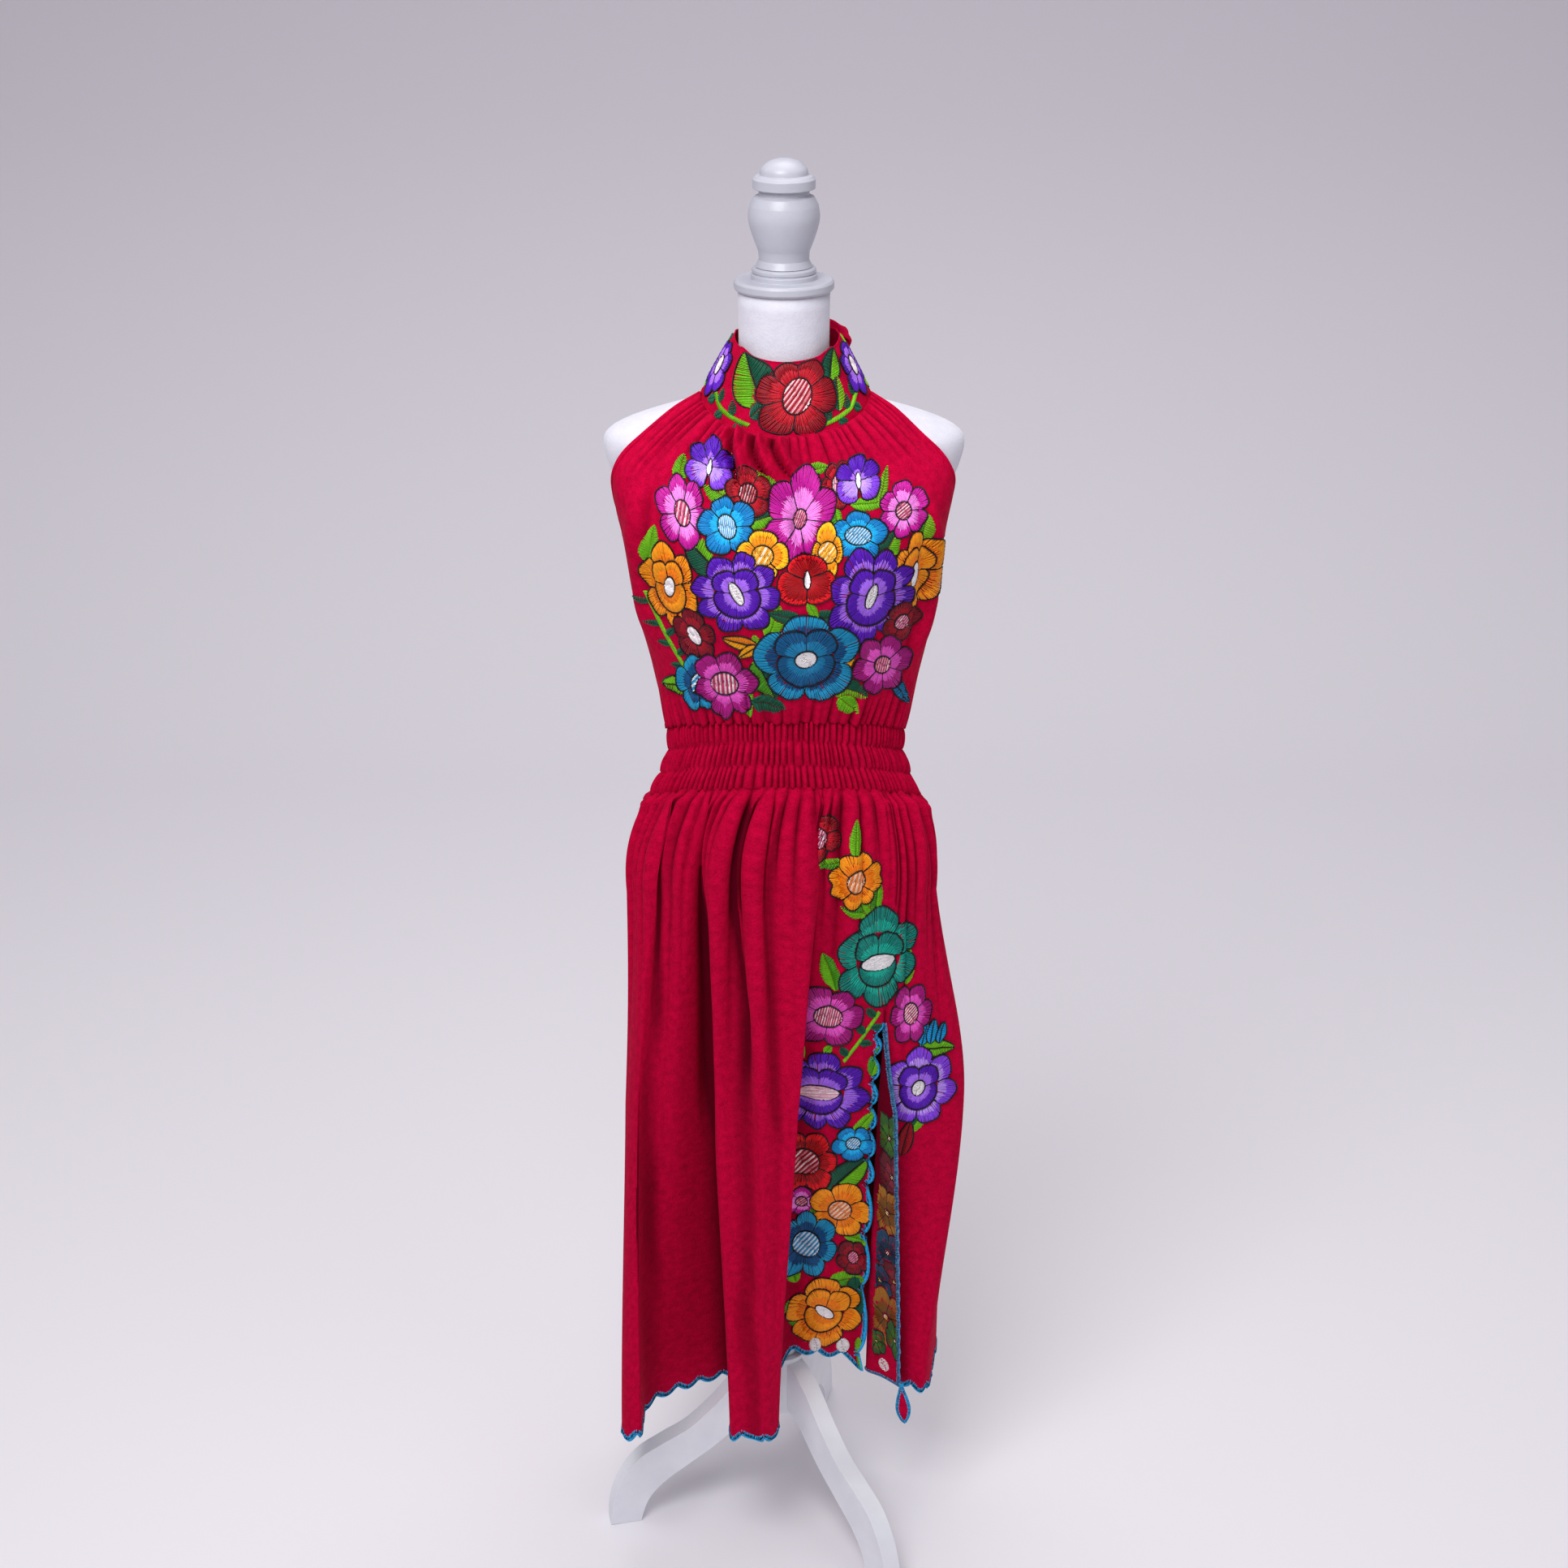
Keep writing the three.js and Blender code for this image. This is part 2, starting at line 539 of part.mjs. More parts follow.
const frontBase = grid(SKIRT_LEVELS.length - 1, frontColumnCount, frontSkirtPoint);
const slitOpen = (j, i) => i === slitColumn && j >= SLIT_LEVEL;
const parted = (j, i) => i === slitColumn && j > SLIT_LEVEL;
const frontNormals = squareSides(frontBase, levelSeams(gridNormals(frontBase, parted)));
const frontRaise = (j, i) => skirtGather(SKIRT_LEVELS[j], turnsOfFront(i));
const frontOuter = moved(frontBase, frontNormals, frontRaise);
const frontInner = moved(frontBase, frontNormals, (j, i) => frontRaise(j, i) - CLOTH);
addPiece("skirt_front", wall(frontOuter, frontInner, slitOpen), COLOURS.cloth, 0.8);

const backColumns = columnsOf(BACK_FOLDS, BACK_COLUMN_LENGTH);
const backLength = backColumns[backColumns.length - 1].length;

function backSkirtPoint(j, i) {
  const column = backColumns[i];
  const start = Math.PI / 2 + SIDE_GAP;
  const angle = mix(start, 2 * Math.PI - start, column.length / backLength);
  const point = skirtPoint(BACK_FOLDS, column, angle, SKIRT_LEVELS[j]);
  point.y += i === 0 || i === backColumns.length - 1 ? SEAM : 0;
  return point;
}

const backSkirtBase = grid(SKIRT_LEVELS.length - 1, backColumns.length - 1, backSkirtPoint);
const backSkirtNormals = panelNormals(backSkirtBase);
const backRaise = (j, i) =>
  skirtGather(SKIRT_LEVELS[j], (BACK_SKIRT_GATHERS * backColumns[i].length) / backLength);
const backSkirtOuter = moved(backSkirtBase, backSkirtNormals, backRaise);
const backSkirtInner = moved(backSkirtBase, backSkirtNormals, (j, i) => backRaise(j, i) - CLOTH);
addPiece("skirt_back", wall(backSkirtOuter, backSkirtInner), COLOURS.cloth, 0.8);

// Neck disc and finial: painted turned wood, closed profiles from axis to axis
const TURNED_SIDES = 20;

function turned(name, profile) {
  const points = profile.map(([radius, z]) => new THREE.Vector2(radius, z));
  const geometry = new THREE.LatheGeometry(points, TURNED_SIDES).rotateX(Math.PI / 2);
  geometry.deleteAttribute("uv");
  geometry.deleteAttribute("normal");
  const merged = mergeVertices(geometry, 1e-4);
  merged.computeVertexNormals();
  return addPiece(name, merged, COLOURS.paint, 0.45);
}

const discBottom = NECK_TOP + SEAM;
const discTop = discBottom + DISC_THICKNESS;
turned("neck_disc", [
  [0, discBottom],
  [DISC_RADIUS - 2, discBottom],
  [DISC_RADIUS, discBottom + 2.5],
  [DISC_RADIUS, discTop - 2.5],
  [DISC_RADIUS - 2, discTop],
  [33, discTop],
  [33, discTop + 5],
  [30.5, discTop + 6],
  [32, discTop + 7],
  [32, discTop + 10.5],
  [30, discTop + 12],
  [0, discTop + 12],
]);

const finialBottom = discTop + 12 + SEAM;
turned("finial", [
  [0, finialBottom],
  [28.5, finialBottom],
  [25, finialBottom + 7],
  [25.5, finialBottom + 15],
  [30.5, finialBottom + 28],
  [34.5, finialBottom + 41],
  [35.5, finialBottom + 50],
  [34, finialBottom + 60],
  [30, finialBottom + 68],
  [25, finialBottom + 70],
  [25, finialBottom + 74],
  [31, finialBottom + 76],
  [31, finialBottom + 85],
  [28, finialBottom + 88],
  [24, finialBottom + 89],
  [22.5, finialBottom + 95],
  [16, finialBottom + 101],
  [8, finialBottom + 104],
  [0, finialBottom + 105],
]);

// Pole and hub
turned("pole", [
  [0, HUB_TOP + SEAM],
  [POLE_RADIUS, HUB_TOP + SEAM],
  [POLE_RADIUS, FORM_BOTTOM - SEAM],
  [0, FORM_BOTTOM - SEAM],
]);
turned("hub", [
  [0, HUB_BOTTOM],
  [HUB_RADIUS, HUB_BOTTOM],
  [HUB_RADIUS, HUB_TOP],
  [0, HUB_TOP],
]);

// Legs: boards with an S outline that slot against the hub, one row to each leg
const LEGS = [
  { name: "leg_left", turn: 193 },
  { name: "leg_front", turn: 306 },
  { name: "leg_back", turn: 76 },
];
const LEG_TOP = [
  [16, 210],
  [38, 204],
  [62, 184],
  [84, 159],
  [118, 128],
  [152, 110],
  [182, 92],
  [204, 62],
  [215, 30],
  [218, 0],
];
const LEG_UNDER = [
  [181, 0],
  [171, 30],
  [150, 54],
  [118, 76],
  [86, 98],
  [58, 122],
  [38, 139],
  [16, 146],
];

function solidOf(geometry) {
  const bare = geometry.clone();
  bare.deleteAttribute("normal");
  bare.deleteAttribute("uv");
  const merged = mergeVertices(bare.index ? bare.toNonIndexed() : bare, 1e-4);
  return new wasm.Manifold(
    new wasm.Mesh({
      numProp: 3,
      vertProperties: merged.attributes.position.array,
      triVerts: new Uint32Array(merged.index.array),
    }),
  );
}

function geometryFromSolid(solid) {
  const mesh = solid.getMesh();
  const geometry = new THREE.BufferGeometry();
  geometry.setAttribute("position", new THREE.Float32BufferAttribute(mesh.vertProperties, 3));
  geometry.setIndex(Array.from(mesh.triVerts));
  geometry.computeVertexNormals();
  return geometry;
}

function legGeometry(turn) {
  const outline = new THREE.Shape();
  outline.moveTo(LEG_TOP[0][0], LEG_TOP[0][1]);
  outline.splineThru(LEG_TOP.slice(1).map(([r, z]) => new THREE.Vector2(r, z)));
  outline.lineTo(LEG_UNDER[0][0], LEG_UNDER[0][1]);
  outline.splineThru(LEG_UNDER.slice(1).map(([r, z]) => new THREE.Vector2(r, z)));
  const board = new THREE.ExtrudeGeometry(outline, {
    depth: BOARD,
    bevelEnabled: false,
    curveSegments: 2,
  });
  board.translate(0, 0, -BOARD / 2).rotateX(Math.PI / 2).rotateZ((turn * Math.PI) / 180);
  const clearance = new THREE.LatheGeometry(
    [
      new THREE.Vector2(0, HUB_BOTTOM - 40),
      new THREE.Vector2(HUB_RADIUS + SEAM, HUB_BOTTOM - 40),
      new THREE.Vector2(HUB_RADIUS + SEAM, HUB_TOP + 40),
      new THREE.Vector2(0, HUB_TOP + 40),
    ],
    TURNED_SIDES,
  ).rotateX(Math.PI / 2);
  return geometryFromSolid(solidOf(board).subtract(solidOf(clearance)));
}

for (const leg of LEGS) addPiece(leg.name, legGeometry(leg.turn), COLOURS.paint, 0.45);

// Bow at the nape: a knot over the collar's ends, two loops and two hanging tails
const KNOT = { x: 0, y: 58.3, z: 1424, width: 15, depth: 11, height: 20 };
const LOOP_Y = 62; // where the loops begin behind the collar
const TIE_WIDTH = 15;
const TAIL_WIDTH = 12;
const TIE_THICKNESS = 1.6;
const LOOPS = [
  { name: "bow_loop_right", side: 1, reach: 60, lift: 13, height: 24 },
  { name: "bow_loop_left", side: -1, reach: 46, lift: -8, height: 20 },
];
const TAILS = [
  { name: "bow_tail_right", side: 1, spread: 24, length: 172 },
  { name: "bow_tail_left", side: -1, spread: 32, length: 196 },
];

const knot = new THREE.SphereGeometry(0.5, 14, 9);
knot.scale(KNOT.width, KNOT.depth, KNOT.height);
knot.translate(KNOT.x, KNOT.y + KNOT.depth / 2, KNOT.z);
knot.deleteAttribute("uv");
knot.deleteAttribute("normal");
const knotMerged = mergeVertices(knot, 1e-4);
knotMerged.computeVertexNormals();
addPiece("bow_knot", knotMerged, COLOURS.cloth, 0.8);

// A loop's outline seen along the ribbon's width: an ellipse that leans up from the knot.
function loopOutline(reach, height, lift, inset) {
  const start = KNOT.width / 2 + SEAM;
  const middle = (reach + start) / 2;
  const half = (reach - start) / 2 - inset;
  const steps = 18;
  return Array.from({ length: steps }, (_, n) => {
    const turn = (2 * Math.PI * n) / steps;
    const out = middle + half * Math.cos(turn);
    const up = (lift * (out - start)) / (reach - start) + (height / 2 - inset) * Math.sin(turn);
    return new THREE.Vector2(out, up);
  });
}

for (const loop of LOOPS) {
  const outline = new THREE.Shape(loopOutline(loop.reach, loop.height, loop.lift, 0));
  const inside = loopOutline(loop.reach, loop.height, loop.lift, TIE_THICKNESS);
  outline.holes.push(new THREE.Path(inside));
  const ribbon = new THREE.ExtrudeGeometry(outline, { depth: TIE_WIDTH, bevelEnabled: false });
  ribbon.rotateX(Math.PI / 2);
  ribbon.rotateZ(loop.side > 0 ? 0 : Math.PI);
  const back = loop.side > 0 ? TIE_WIDTH : 0;
  ribbon.translate(0, LOOP_Y + back, KNOT.z);
  addPiece(loop.name, ribbon, COLOURS.cloth, 0.8);
}

for (const tail of TAILS) {
  const route = new THREE.CatmullRomCurve3([
    new THREE.Vector3(tail.side * 6.6, KNOT.y + 7, KNOT.z - KNOT.height / 2 - 0.1),
    new THREE.Vector3(tail.side * 9, KNOT.y + 20, KNOT.z - 45),
    new THREE.Vector3(tail.side * tail.spread * 0.7, 108, KNOT.z - tail.length * 0.55),
    new THREE.Vector3(tail.side * tail.spread, 113, KNOT.z - tail.length),
  ]);
  const section = new THREE.Shape([
    new THREE.Vector2(-TAIL_WIDTH / 2, -TIE_THICKNESS / 2),
    new THREE.Vector2(TAIL_WIDTH / 2, -TIE_THICKNESS / 2),
    new THREE.Vector2(TAIL_WIDTH / 2, TIE_THICKNESS / 2),
    new THREE.Vector2(-TAIL_WIDTH / 2, TIE_THICKNESS / 2),
  ]);
  const strip = new THREE.ExtrudeGeometry(section, { steps: 16, extrudePath: route });
  addPiece(tail.name, strip, COLOURS.cloth, 0.8);
}

// The origin is the centre of the model's outer box, at floor level.
const box = new THREE.Box3().setFromObject(dress);
const centre = box.getCenter(new THREE.Vector3());
dress.position.set(-centre.x, -centre.y, -box.min.z);

export default dress;
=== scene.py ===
# %% [markdown]
# # A high-neck halter dress on a limbless dress form
# The dress is red plain-weave cotton, gathered into an embroidered collar and into a shirred
# waist, with a slit skirt edged in blue. It stands on a jersey-covered form, a painted pole and
# three painted leg boards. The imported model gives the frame: every place below is in metres, with
# +Z up, the front of the dress towards -Y, and the viewer's right towards +X.

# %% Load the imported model
import json
import math

import bmesh
import bpy
import numpy as np
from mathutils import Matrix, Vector

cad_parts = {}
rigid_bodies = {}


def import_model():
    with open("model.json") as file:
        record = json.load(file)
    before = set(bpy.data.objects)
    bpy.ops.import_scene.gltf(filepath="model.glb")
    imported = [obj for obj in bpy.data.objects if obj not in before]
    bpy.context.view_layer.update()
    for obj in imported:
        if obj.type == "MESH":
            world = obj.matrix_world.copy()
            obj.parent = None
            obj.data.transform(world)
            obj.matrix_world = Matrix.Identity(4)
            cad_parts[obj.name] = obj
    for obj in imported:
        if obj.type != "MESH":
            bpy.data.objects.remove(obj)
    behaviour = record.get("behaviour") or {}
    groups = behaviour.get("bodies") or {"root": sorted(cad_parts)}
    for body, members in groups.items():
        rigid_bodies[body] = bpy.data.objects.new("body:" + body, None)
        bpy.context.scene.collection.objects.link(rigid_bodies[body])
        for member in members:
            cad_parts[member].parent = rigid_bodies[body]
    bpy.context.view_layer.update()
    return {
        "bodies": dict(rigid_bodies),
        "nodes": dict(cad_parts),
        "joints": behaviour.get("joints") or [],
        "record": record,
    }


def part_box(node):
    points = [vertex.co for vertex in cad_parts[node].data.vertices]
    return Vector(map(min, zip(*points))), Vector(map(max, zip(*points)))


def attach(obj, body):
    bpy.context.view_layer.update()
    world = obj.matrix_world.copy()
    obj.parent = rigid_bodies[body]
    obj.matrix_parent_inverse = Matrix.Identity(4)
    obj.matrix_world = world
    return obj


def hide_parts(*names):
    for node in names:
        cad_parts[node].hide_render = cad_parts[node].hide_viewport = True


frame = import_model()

pole_low, pole_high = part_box("pole")
AXIS = np.array([(pole_low[0] + pole_high[0]) / 2, (pole_low[1] + pole_high[1]) / 2, 0])

# %% [markdown]
# Sizes below are measured from the pole's axis, because a garment is drafted round the body's
# middle line. One function moves finished points to the model's own origin. Colours are written
# as the usual hex values and turned to linear light by one function, since Blender mixes light
# linearly. One more function adds a shader or geometry node with its settings and links.

# %% Points, colours and nodes
rng = np.random.default_rng(7)
FULL_TURN, QUARTER = 2 * math.pi, math.pi / 2


def placed(points):
    return np.asarray(points, float) + AXIS


def linear(hex_colour):
    """The linear red, green and blue of an sRGB hex colour."""
    srgb = np.array([int(hex_colour[k : k + 2], 16) for k in (1, 3, 5)]) / 255
    return np.where(srgb <= 0.04045, srgb / 12.92, ((srgb + 0.055) / 1.055) ** 2.4)


def rgba(hex_colour):
    return (*linear(hex_colour), 1.0)


def add_node(tree, kind, links=None, **settings):
    """A node of this kind. Settings are its properties, and links are its inputs, by name or
    number: another node's output socket, or a value."""
    node = tree.nodes.new(kind)
    for name, value in settings.items():
        setattr(node, name, value)
    for name, value in (links or {}).items():
        socket = node.inputs[name]
        if isinstance(value, bpy.types.NodeSocket):
            tree.links.new(value, socket)
        else:
            socket.default_value = value
    return node


# %% Materials and what they share
def new_material(name, **values):
    """A material whose plain values sit on the shader's own sockets."""
    material = bpy.data.materials.new(name)
    material.use_nodes = True
    shader = material.node_tree.nodes["Principled BSDF"]
    for socket, value in values.items():
        shader.inputs[socket.replace("_", " ")].default_value = value
    return material, material.node_tree, shader


def object_places(tree):
    return add_node(tree, "ShaderNodeTexCoord").outputs["Object"]


def noise(tree, places, scale, detail, roughness=0.5):
    values = {"Vector": places, "Scale": scale, "Detail": detail, "Roughness": roughness}
    return add_node(tree, "ShaderNodeTexNoise", values).outputs[0]


def two_tone(tree, value, dark, light, low, high):
    """A colour that runs from dark to light while the value runs from low to high."""
    tone = add_node(tree, "ShaderNodeValToRGB", {0: value})
    for stop, position, colour in zip(tone.color_ramp.elements, (low, high), (dark, light)):
        stop.position, stop.color = position, rgba(colour)
    return tone.outputs[0]


def finish_material(material, shader, colour, height, strength, distance):
    """Give a material its colour, and fine bumps of this distance in metres."""
    tree = material.node_tree
    bump = add_node(
        tree, "ShaderNodeBump", {"Height": height, "Strength": strength, "Distance": distance}
    )
    tree.links.new(colour, shader.inputs["Base Color"])
    tree.links.new(bump.outputs[0], shader.inputs["Normal"])
    return material


# %% [markdown]
# The cloth is plain-weave cotton, piece-dyed crimson and brushed by washing, so it is matt, with
# a pale fuzz at grazing angles and a mottled tone. Its threads are about 0.4 mm apart, too fine
# for the picture, so the weave is drawn at 1.6 mm, coarse enough to show. The pattern follows each
# panel's own map, which is in metres of cloth, so the weave turns with the folds. A value on the
# mesh says how deep a point lies between two folds, and painted shade darkens the cloth's colour
# there, in place of the little light that comes out of a narrow fold of red cloth.

# %% Red cotton
WEAVE_PITCH = 0.0016  # drawn four times coarser than the real 0.4 mm, to show in the picture
MOTTLE_SIZE = 0.009  # clouds of lighter and darker dye
# Painted shade: the cloth's colour is mixed towards this dark red at the bottom of a fold.
FOLD_SHADE_RED, FOLD_SHADE_SHARE = "#500014", 0.90  # colour at the bottom of a fold, and how much it covers


def woven_cotton(name, light, dark):
    material, tree, shader = new_material(
        name, Roughness=0.9, Sheen_Weight=0.05, Sheen_Roughness=0.4, Specular_IOR_Level=0.04
    )
    shader.inputs["Sheen Tint"].default_value = rgba("#ff5a80")
    cloth_map = add_node(tree, "ShaderNodeUVMap", uv_map="cloth").outputs[0]
    mottle = noise(tree, cloth_map, 1 / MOTTLE_SIZE, 5, 0.7)
    fibre = noise(tree, cloth_map, 1 / WEAVE_PITCH, 2, 0.6)
    both = add_node(tree, "ShaderNodeMix", {0: 0.45, 2: mottle, 3: fibre})
    tone = two_tone(tree, both.outputs[0], dark, light, 0.36, 0.64)
    # The fold-shade value on the mesh mixes the tone towards dark red: painted shade in the fold valleys.
    fold_shade = add_node(tree, "ShaderNodeAttribute", attribute_name="fold_shade")
    share = {0: fold_shade.outputs["Fac"], 1: FOLD_SHADE_SHARE}
    shade = add_node(tree, "ShaderNodeMath", share, operation="MULTIPLY")
    shading = {0: shade.outputs[0], 6: tone, 7: rgba(FOLD_SHADE_RED)}
    shaded = add_node(tree, "ShaderNodeMix", shading, data_type="RGBA")
    turns = FULL_TURN / WEAVE_PITCH / 20
    waves = {"Vector": cloth_map, "Scale": turns, "Distortion": 0.6}
    warp, weft = (
        add_node(tree, "ShaderNodeTexWave", waves, bands_direction=way).outputs["Fac"] for way in "XY"
    )
    weave = add_node(tree, "ShaderNodeMath", {0: warp, 1: weft}, operation="MAXIMUM")
    rough = add_node(tree, "ShaderNodeMix", {0: 0.5, 2: weave.outputs[0], 3: fibre})
    return finish_material(material, shader, shaded.outputs[2], rough.outputs[0], 0.35, 0.0005)


red_cotton = woven_cotton("red plain-weave cotton", "#ce043c", "#9a002a")
print("material:", red_cotton.name)

# %% [markdown]
# The embroidery thread is loosely spun cotton floss with a soft lustre, dyed in about twenty
# colours. Each stitch carries its own colour, so one material reads it from the mesh and varies it
# slightly along the strand. The form's cover is white stretch jersey, a fine knit. The stand and
# the neck cap are turned and sawn wood under white satin paint, which dries with a faint orange
# peel. The neck cap and finial take a greyer copy of that paint, which is painted shade.

# %% Floss, jersey and painted wood
STRAND_GRAIN = 0.0022  # lighter and darker lengths along a strand
KNIT_PITCH = 0.0022  # stitches of the jersey, drawn three times coarser than the real 0.7 mm
PEEL_SIZE = 0.0035  # dimples in the paint


def satin_floss(name, roughness):
    material, tree, shader = new_material(
        name, Roughness=roughness, Sheen_Weight=0.03, Sheen_Roughness=0.4, Specular_IOR_Level=0.3
    )
    dyed = add_node(tree, "ShaderNodeAttribute", attribute_name="thread_colour")
    strand = noise(tree, object_places(tree), 1 / STRAND_GRAIN, 2)
    depth = add_node(
        tree, "ShaderNodeMapRange",
        {"Value": strand, "From Min": 0.3, "From Max": 0.7, "To Min": 0.92, "To Max": 1.24},
    )
    scaled = {0: dyed.outputs["Color"], "Scale": depth.outputs[0]}
    colour = add_node(tree, "ShaderNodeVectorMath", scaled, operation="SCALE")
    return finish_material(material, shader, colour.outputs[0], strand, 0.25, 0.0004)


def stretch_jersey(name, light, dark):
    material, tree, shader = new_material(
        name, Roughness=0.9, Sheen_Weight=0.3, Sheen_Roughness=0.5, Specular_IOR_Level=0.15
    )
    here = object_places(tree)
    knit = add_node(tree, "ShaderNodeTexVoronoi", {"Vector": here, "Scale": 1 / KNIT_PITCH})
    tone = two_tone(tree, noise(tree, here, 60, 6, 0.7), dark, light, 0.3, 0.7)
    return finish_material(material, shader, tone, knit.outputs[0], 0.3, 0.0006)


def satin_paint(name, light, dark):
    material, tree, shader = new_material(
        name, Roughness=0.38, Coat_Weight=0.15, Coat_Roughness=0.3, Specular_IOR_Level=0.5
    )
    here = object_places(tree)
    peel = noise(tree, here, 1 / PEEL_SIZE, 3, 0.6)
    tone = two_tone(tree, noise(tree, here, 14, 6), dark, light, 0.35, 0.7)
    return finish_material(material, shader, tone, peel, 0.35, 0.0006)


floss = satin_floss("stranded cotton floss", 0.5)
jersey = stretch_jersey("white stretch jersey", "#dddbe5", "#d0cedc")
paint = satin_paint("white satin paint on the legs and pole", "#f1f3f8", "#e2e4ec")
# The neck cap and finial get a greyer copy of the same white paint, as painted shade.
shaded_cap_paint = satin_paint("greyer white paint on the neck cap and finial", "#bcbdc8", "#aeaeba")
print("materials:", floss.name, "|", jersey.name, "|", paint.name, "|", shaded_cap_paint.name)

# %% [markdown]
# The camera stands about 2.4 m in front of the dress, at the height of a raised hand, and looks
# down by 23 degrees: the neck disc and the finial show as narrow ellipses seen from above. The
# lens is a little longer than the eye's, and the frame is square.

# %% Camera
CAMERA_PLACE = (0.0, -2.392, 1.988)
LOOK_DOWN = math.radians(23.34)
FOCAL_PIXELS, FRAME_PIXELS, SENSOR = 2966, 1932, 36.0


def linked(name, data):
    """A new object of the scene."""
    made = bpy.data.objects.new(name, data)
    bpy.context.collection.objects.link(made)
    return made


camera_data = bpy.data.cameras.new("camera")
camera_data.sensor_width = SENSOR
camera_data.lens = FOCAL_PIXELS / FRAME_PIXELS * SENSOR
camera = linked("camera", camera_data)
camera.location = placed(CAMERA_PLACE)
camera.rotation_euler = (QUARTER - LOOK_DOWN, 0, 0)
bpy.context.scene.camera = camera
print("camera at", [round(v, 4) for v in camera.location], "lens", round(camera_data.lens, 2))

# %% [markdown]
# Every soft piece starts as a grid of points: rows run down the cloth and columns run to the
# viewer's right. Short tables give the main rows, and a smooth curve through them gives every row
# between. A few small functions measure along lines and grids.

# %% Curves and rings
def spline(before, a, b, after, share):
    """A smooth curve from a to b that takes its slopes from the values before and after."""
    return 0.5 * (
        2 * a + (b - before) * share + (2 * before - 5 * a + 4 * b - after) * share**2
        + (3 * a - before - 3 * b + after) * share**3
    )


def smooth(values, position):
    """The value at a position along a list, on a smooth curve through its members."""
    values = np.asarray(values, float)
    last = len(values) - 1
    first = np.clip(np.floor(position).astype(int), 0, last - 1)
    near = (values[np.clip(first + k, 0, last)] for k in (-1, 0, 1, 2))
    return spline(*near, position - first)


def smooth_line(points, position):
    """Points at positions along a list of points, on a smooth curve through them."""
    return np.stack([smooth(column, position) for column in np.asarray(points, float).T], -1)


def reach_along(line):
    """How far along its own length each point of a line lies."""
    return np.concatenate([[0], np.cumsum(np.linalg.norm(np.diff(line, axis=0), axis=-1))])


def at_reach(line, reach, distance):
    """Points of a line at these distances along it."""
    return np.stack([np.interp(distance, reach, column) for column in np.asarray(line).T], -1)


def table(names, rows):
    """Rows of numbers as columns by name."""
    return dict(zip(names.split(), np.array(rows, float).T))


def ring(rows, position, angle):
    """Points on the rings of a table. The angle is 0 at centre front and grows to the viewer's
    right; left and right are half widths, front and back are depths, side_y is where the sides
    lie, and the three z columns are heights at front, side and back."""
    position, angle = np.broadcast_arrays(position, angle)
    at = {name: smooth(column, position) for name, column in rows.items()}
    across, ahead = np.sin(angle), np.cos(angle)
    half = np.where(across < 0, at["left"], at["right"])
    to_front, to_back = -at["front"] - at["side_y"], at["side_y"] - at["back"]
    depth = np.where(ahead > 0, to_front, to_back)
    rise = np.where(ahead > 0, at["z_front"] - at["z_side"], at["z_side"] - at["z_back"])
    return np.stack([half * across, at["side_y"] + depth * ahead, at["z_side"] + rise * ahead], -1)


def even_turn(sides):
    return FULL_TURN * np.arange(sides) / sides


def grid_of(x, y, z):
    """A grid of points from three arrays that may lack an axis."""
    return np.stack(np.broadcast_arrays(x, y, z), -1)


# %% Normals, heights and the cloth's own map
def unit(vectors):
    return vectors / np.maximum(np.linalg.norm(vectors, axis=-1, keepdims=True), 1e-12)


def grid_normals(grid):
    """Outward normals of a grid of points."""
    return unit(np.cross(np.gradient(grid, axis=0), np.gradient(grid, axis=1)))


def raised(grid, height):
    """The grid moved outwards by a height at each point."""
    return grid + grid_normals(grid) * np.asarray(height)[..., None]


def cloth_map_of(grid):
    """How far each point lies along its row and down its column, in metres of cloth."""
    across = np.linalg.norm(np.diff(grid, axis=1), axis=-1).mean(axis=0)
    down = np.linalg.norm(np.diff(grid, axis=0), axis=-1).mean(axis=1)
    u, v = (np.concatenate([[0], np.cumsum(steps)]) for steps in (across, down))
    return grid_of(u[None, :], -v[:, None], 0)[..., :2]


# Painted shade in the folds begins at the first of these depths for a fold's width and is full at the
# second.
OPEN_CLOTH, NARROW_VALLEY = 0.05, 0.39  # depth for its width at which a fold starts and ends to darken


def fold_shade_amount(grid, reaches=(3, 5, 8)):
    """How much painted shade each point gets, from how deep it lies between the folds beside it: 0 on
    open cloth and crests, 1 in a narrow valley. Each reach is how many columns away the folds are looked
    for."""
    deep = np.zeros(grid.shape[:2])
    normals = grid_normals(grid)
    for reach in reaches:
        wide = np.pad(grid, ((0, 0), (reach, reach), (0, 0)), mode="edge")
        before, after = wide[:, : -2 * reach], wide[:, 2 * reach :]
        rise = np.sum(((before + after) / 2 - grid) * normals, axis=-1)
        rise[:, :reach] = rise[:, -reach:] = 0
        deep = np.maximum(deep, rise / (np.linalg.norm(after - before, axis=-1) + 0.002))
    return np.clip((deep - OPEN_CLOTH) / (NARROW_VALLEY - OPEN_CLOTH), 0, 1)


# %% [markdown]
# A grid becomes a mesh with its own map in metres, and Solidify gives it the cloth's thickness on
# the inside. Solid pieces are lofts: rings joined by quads and closed at both ends. Faces with four
# corners are shaded smoothly, and end caps stay flat.

# %% Meshes
CLOTH = 0.0011  # thickness of the cotton


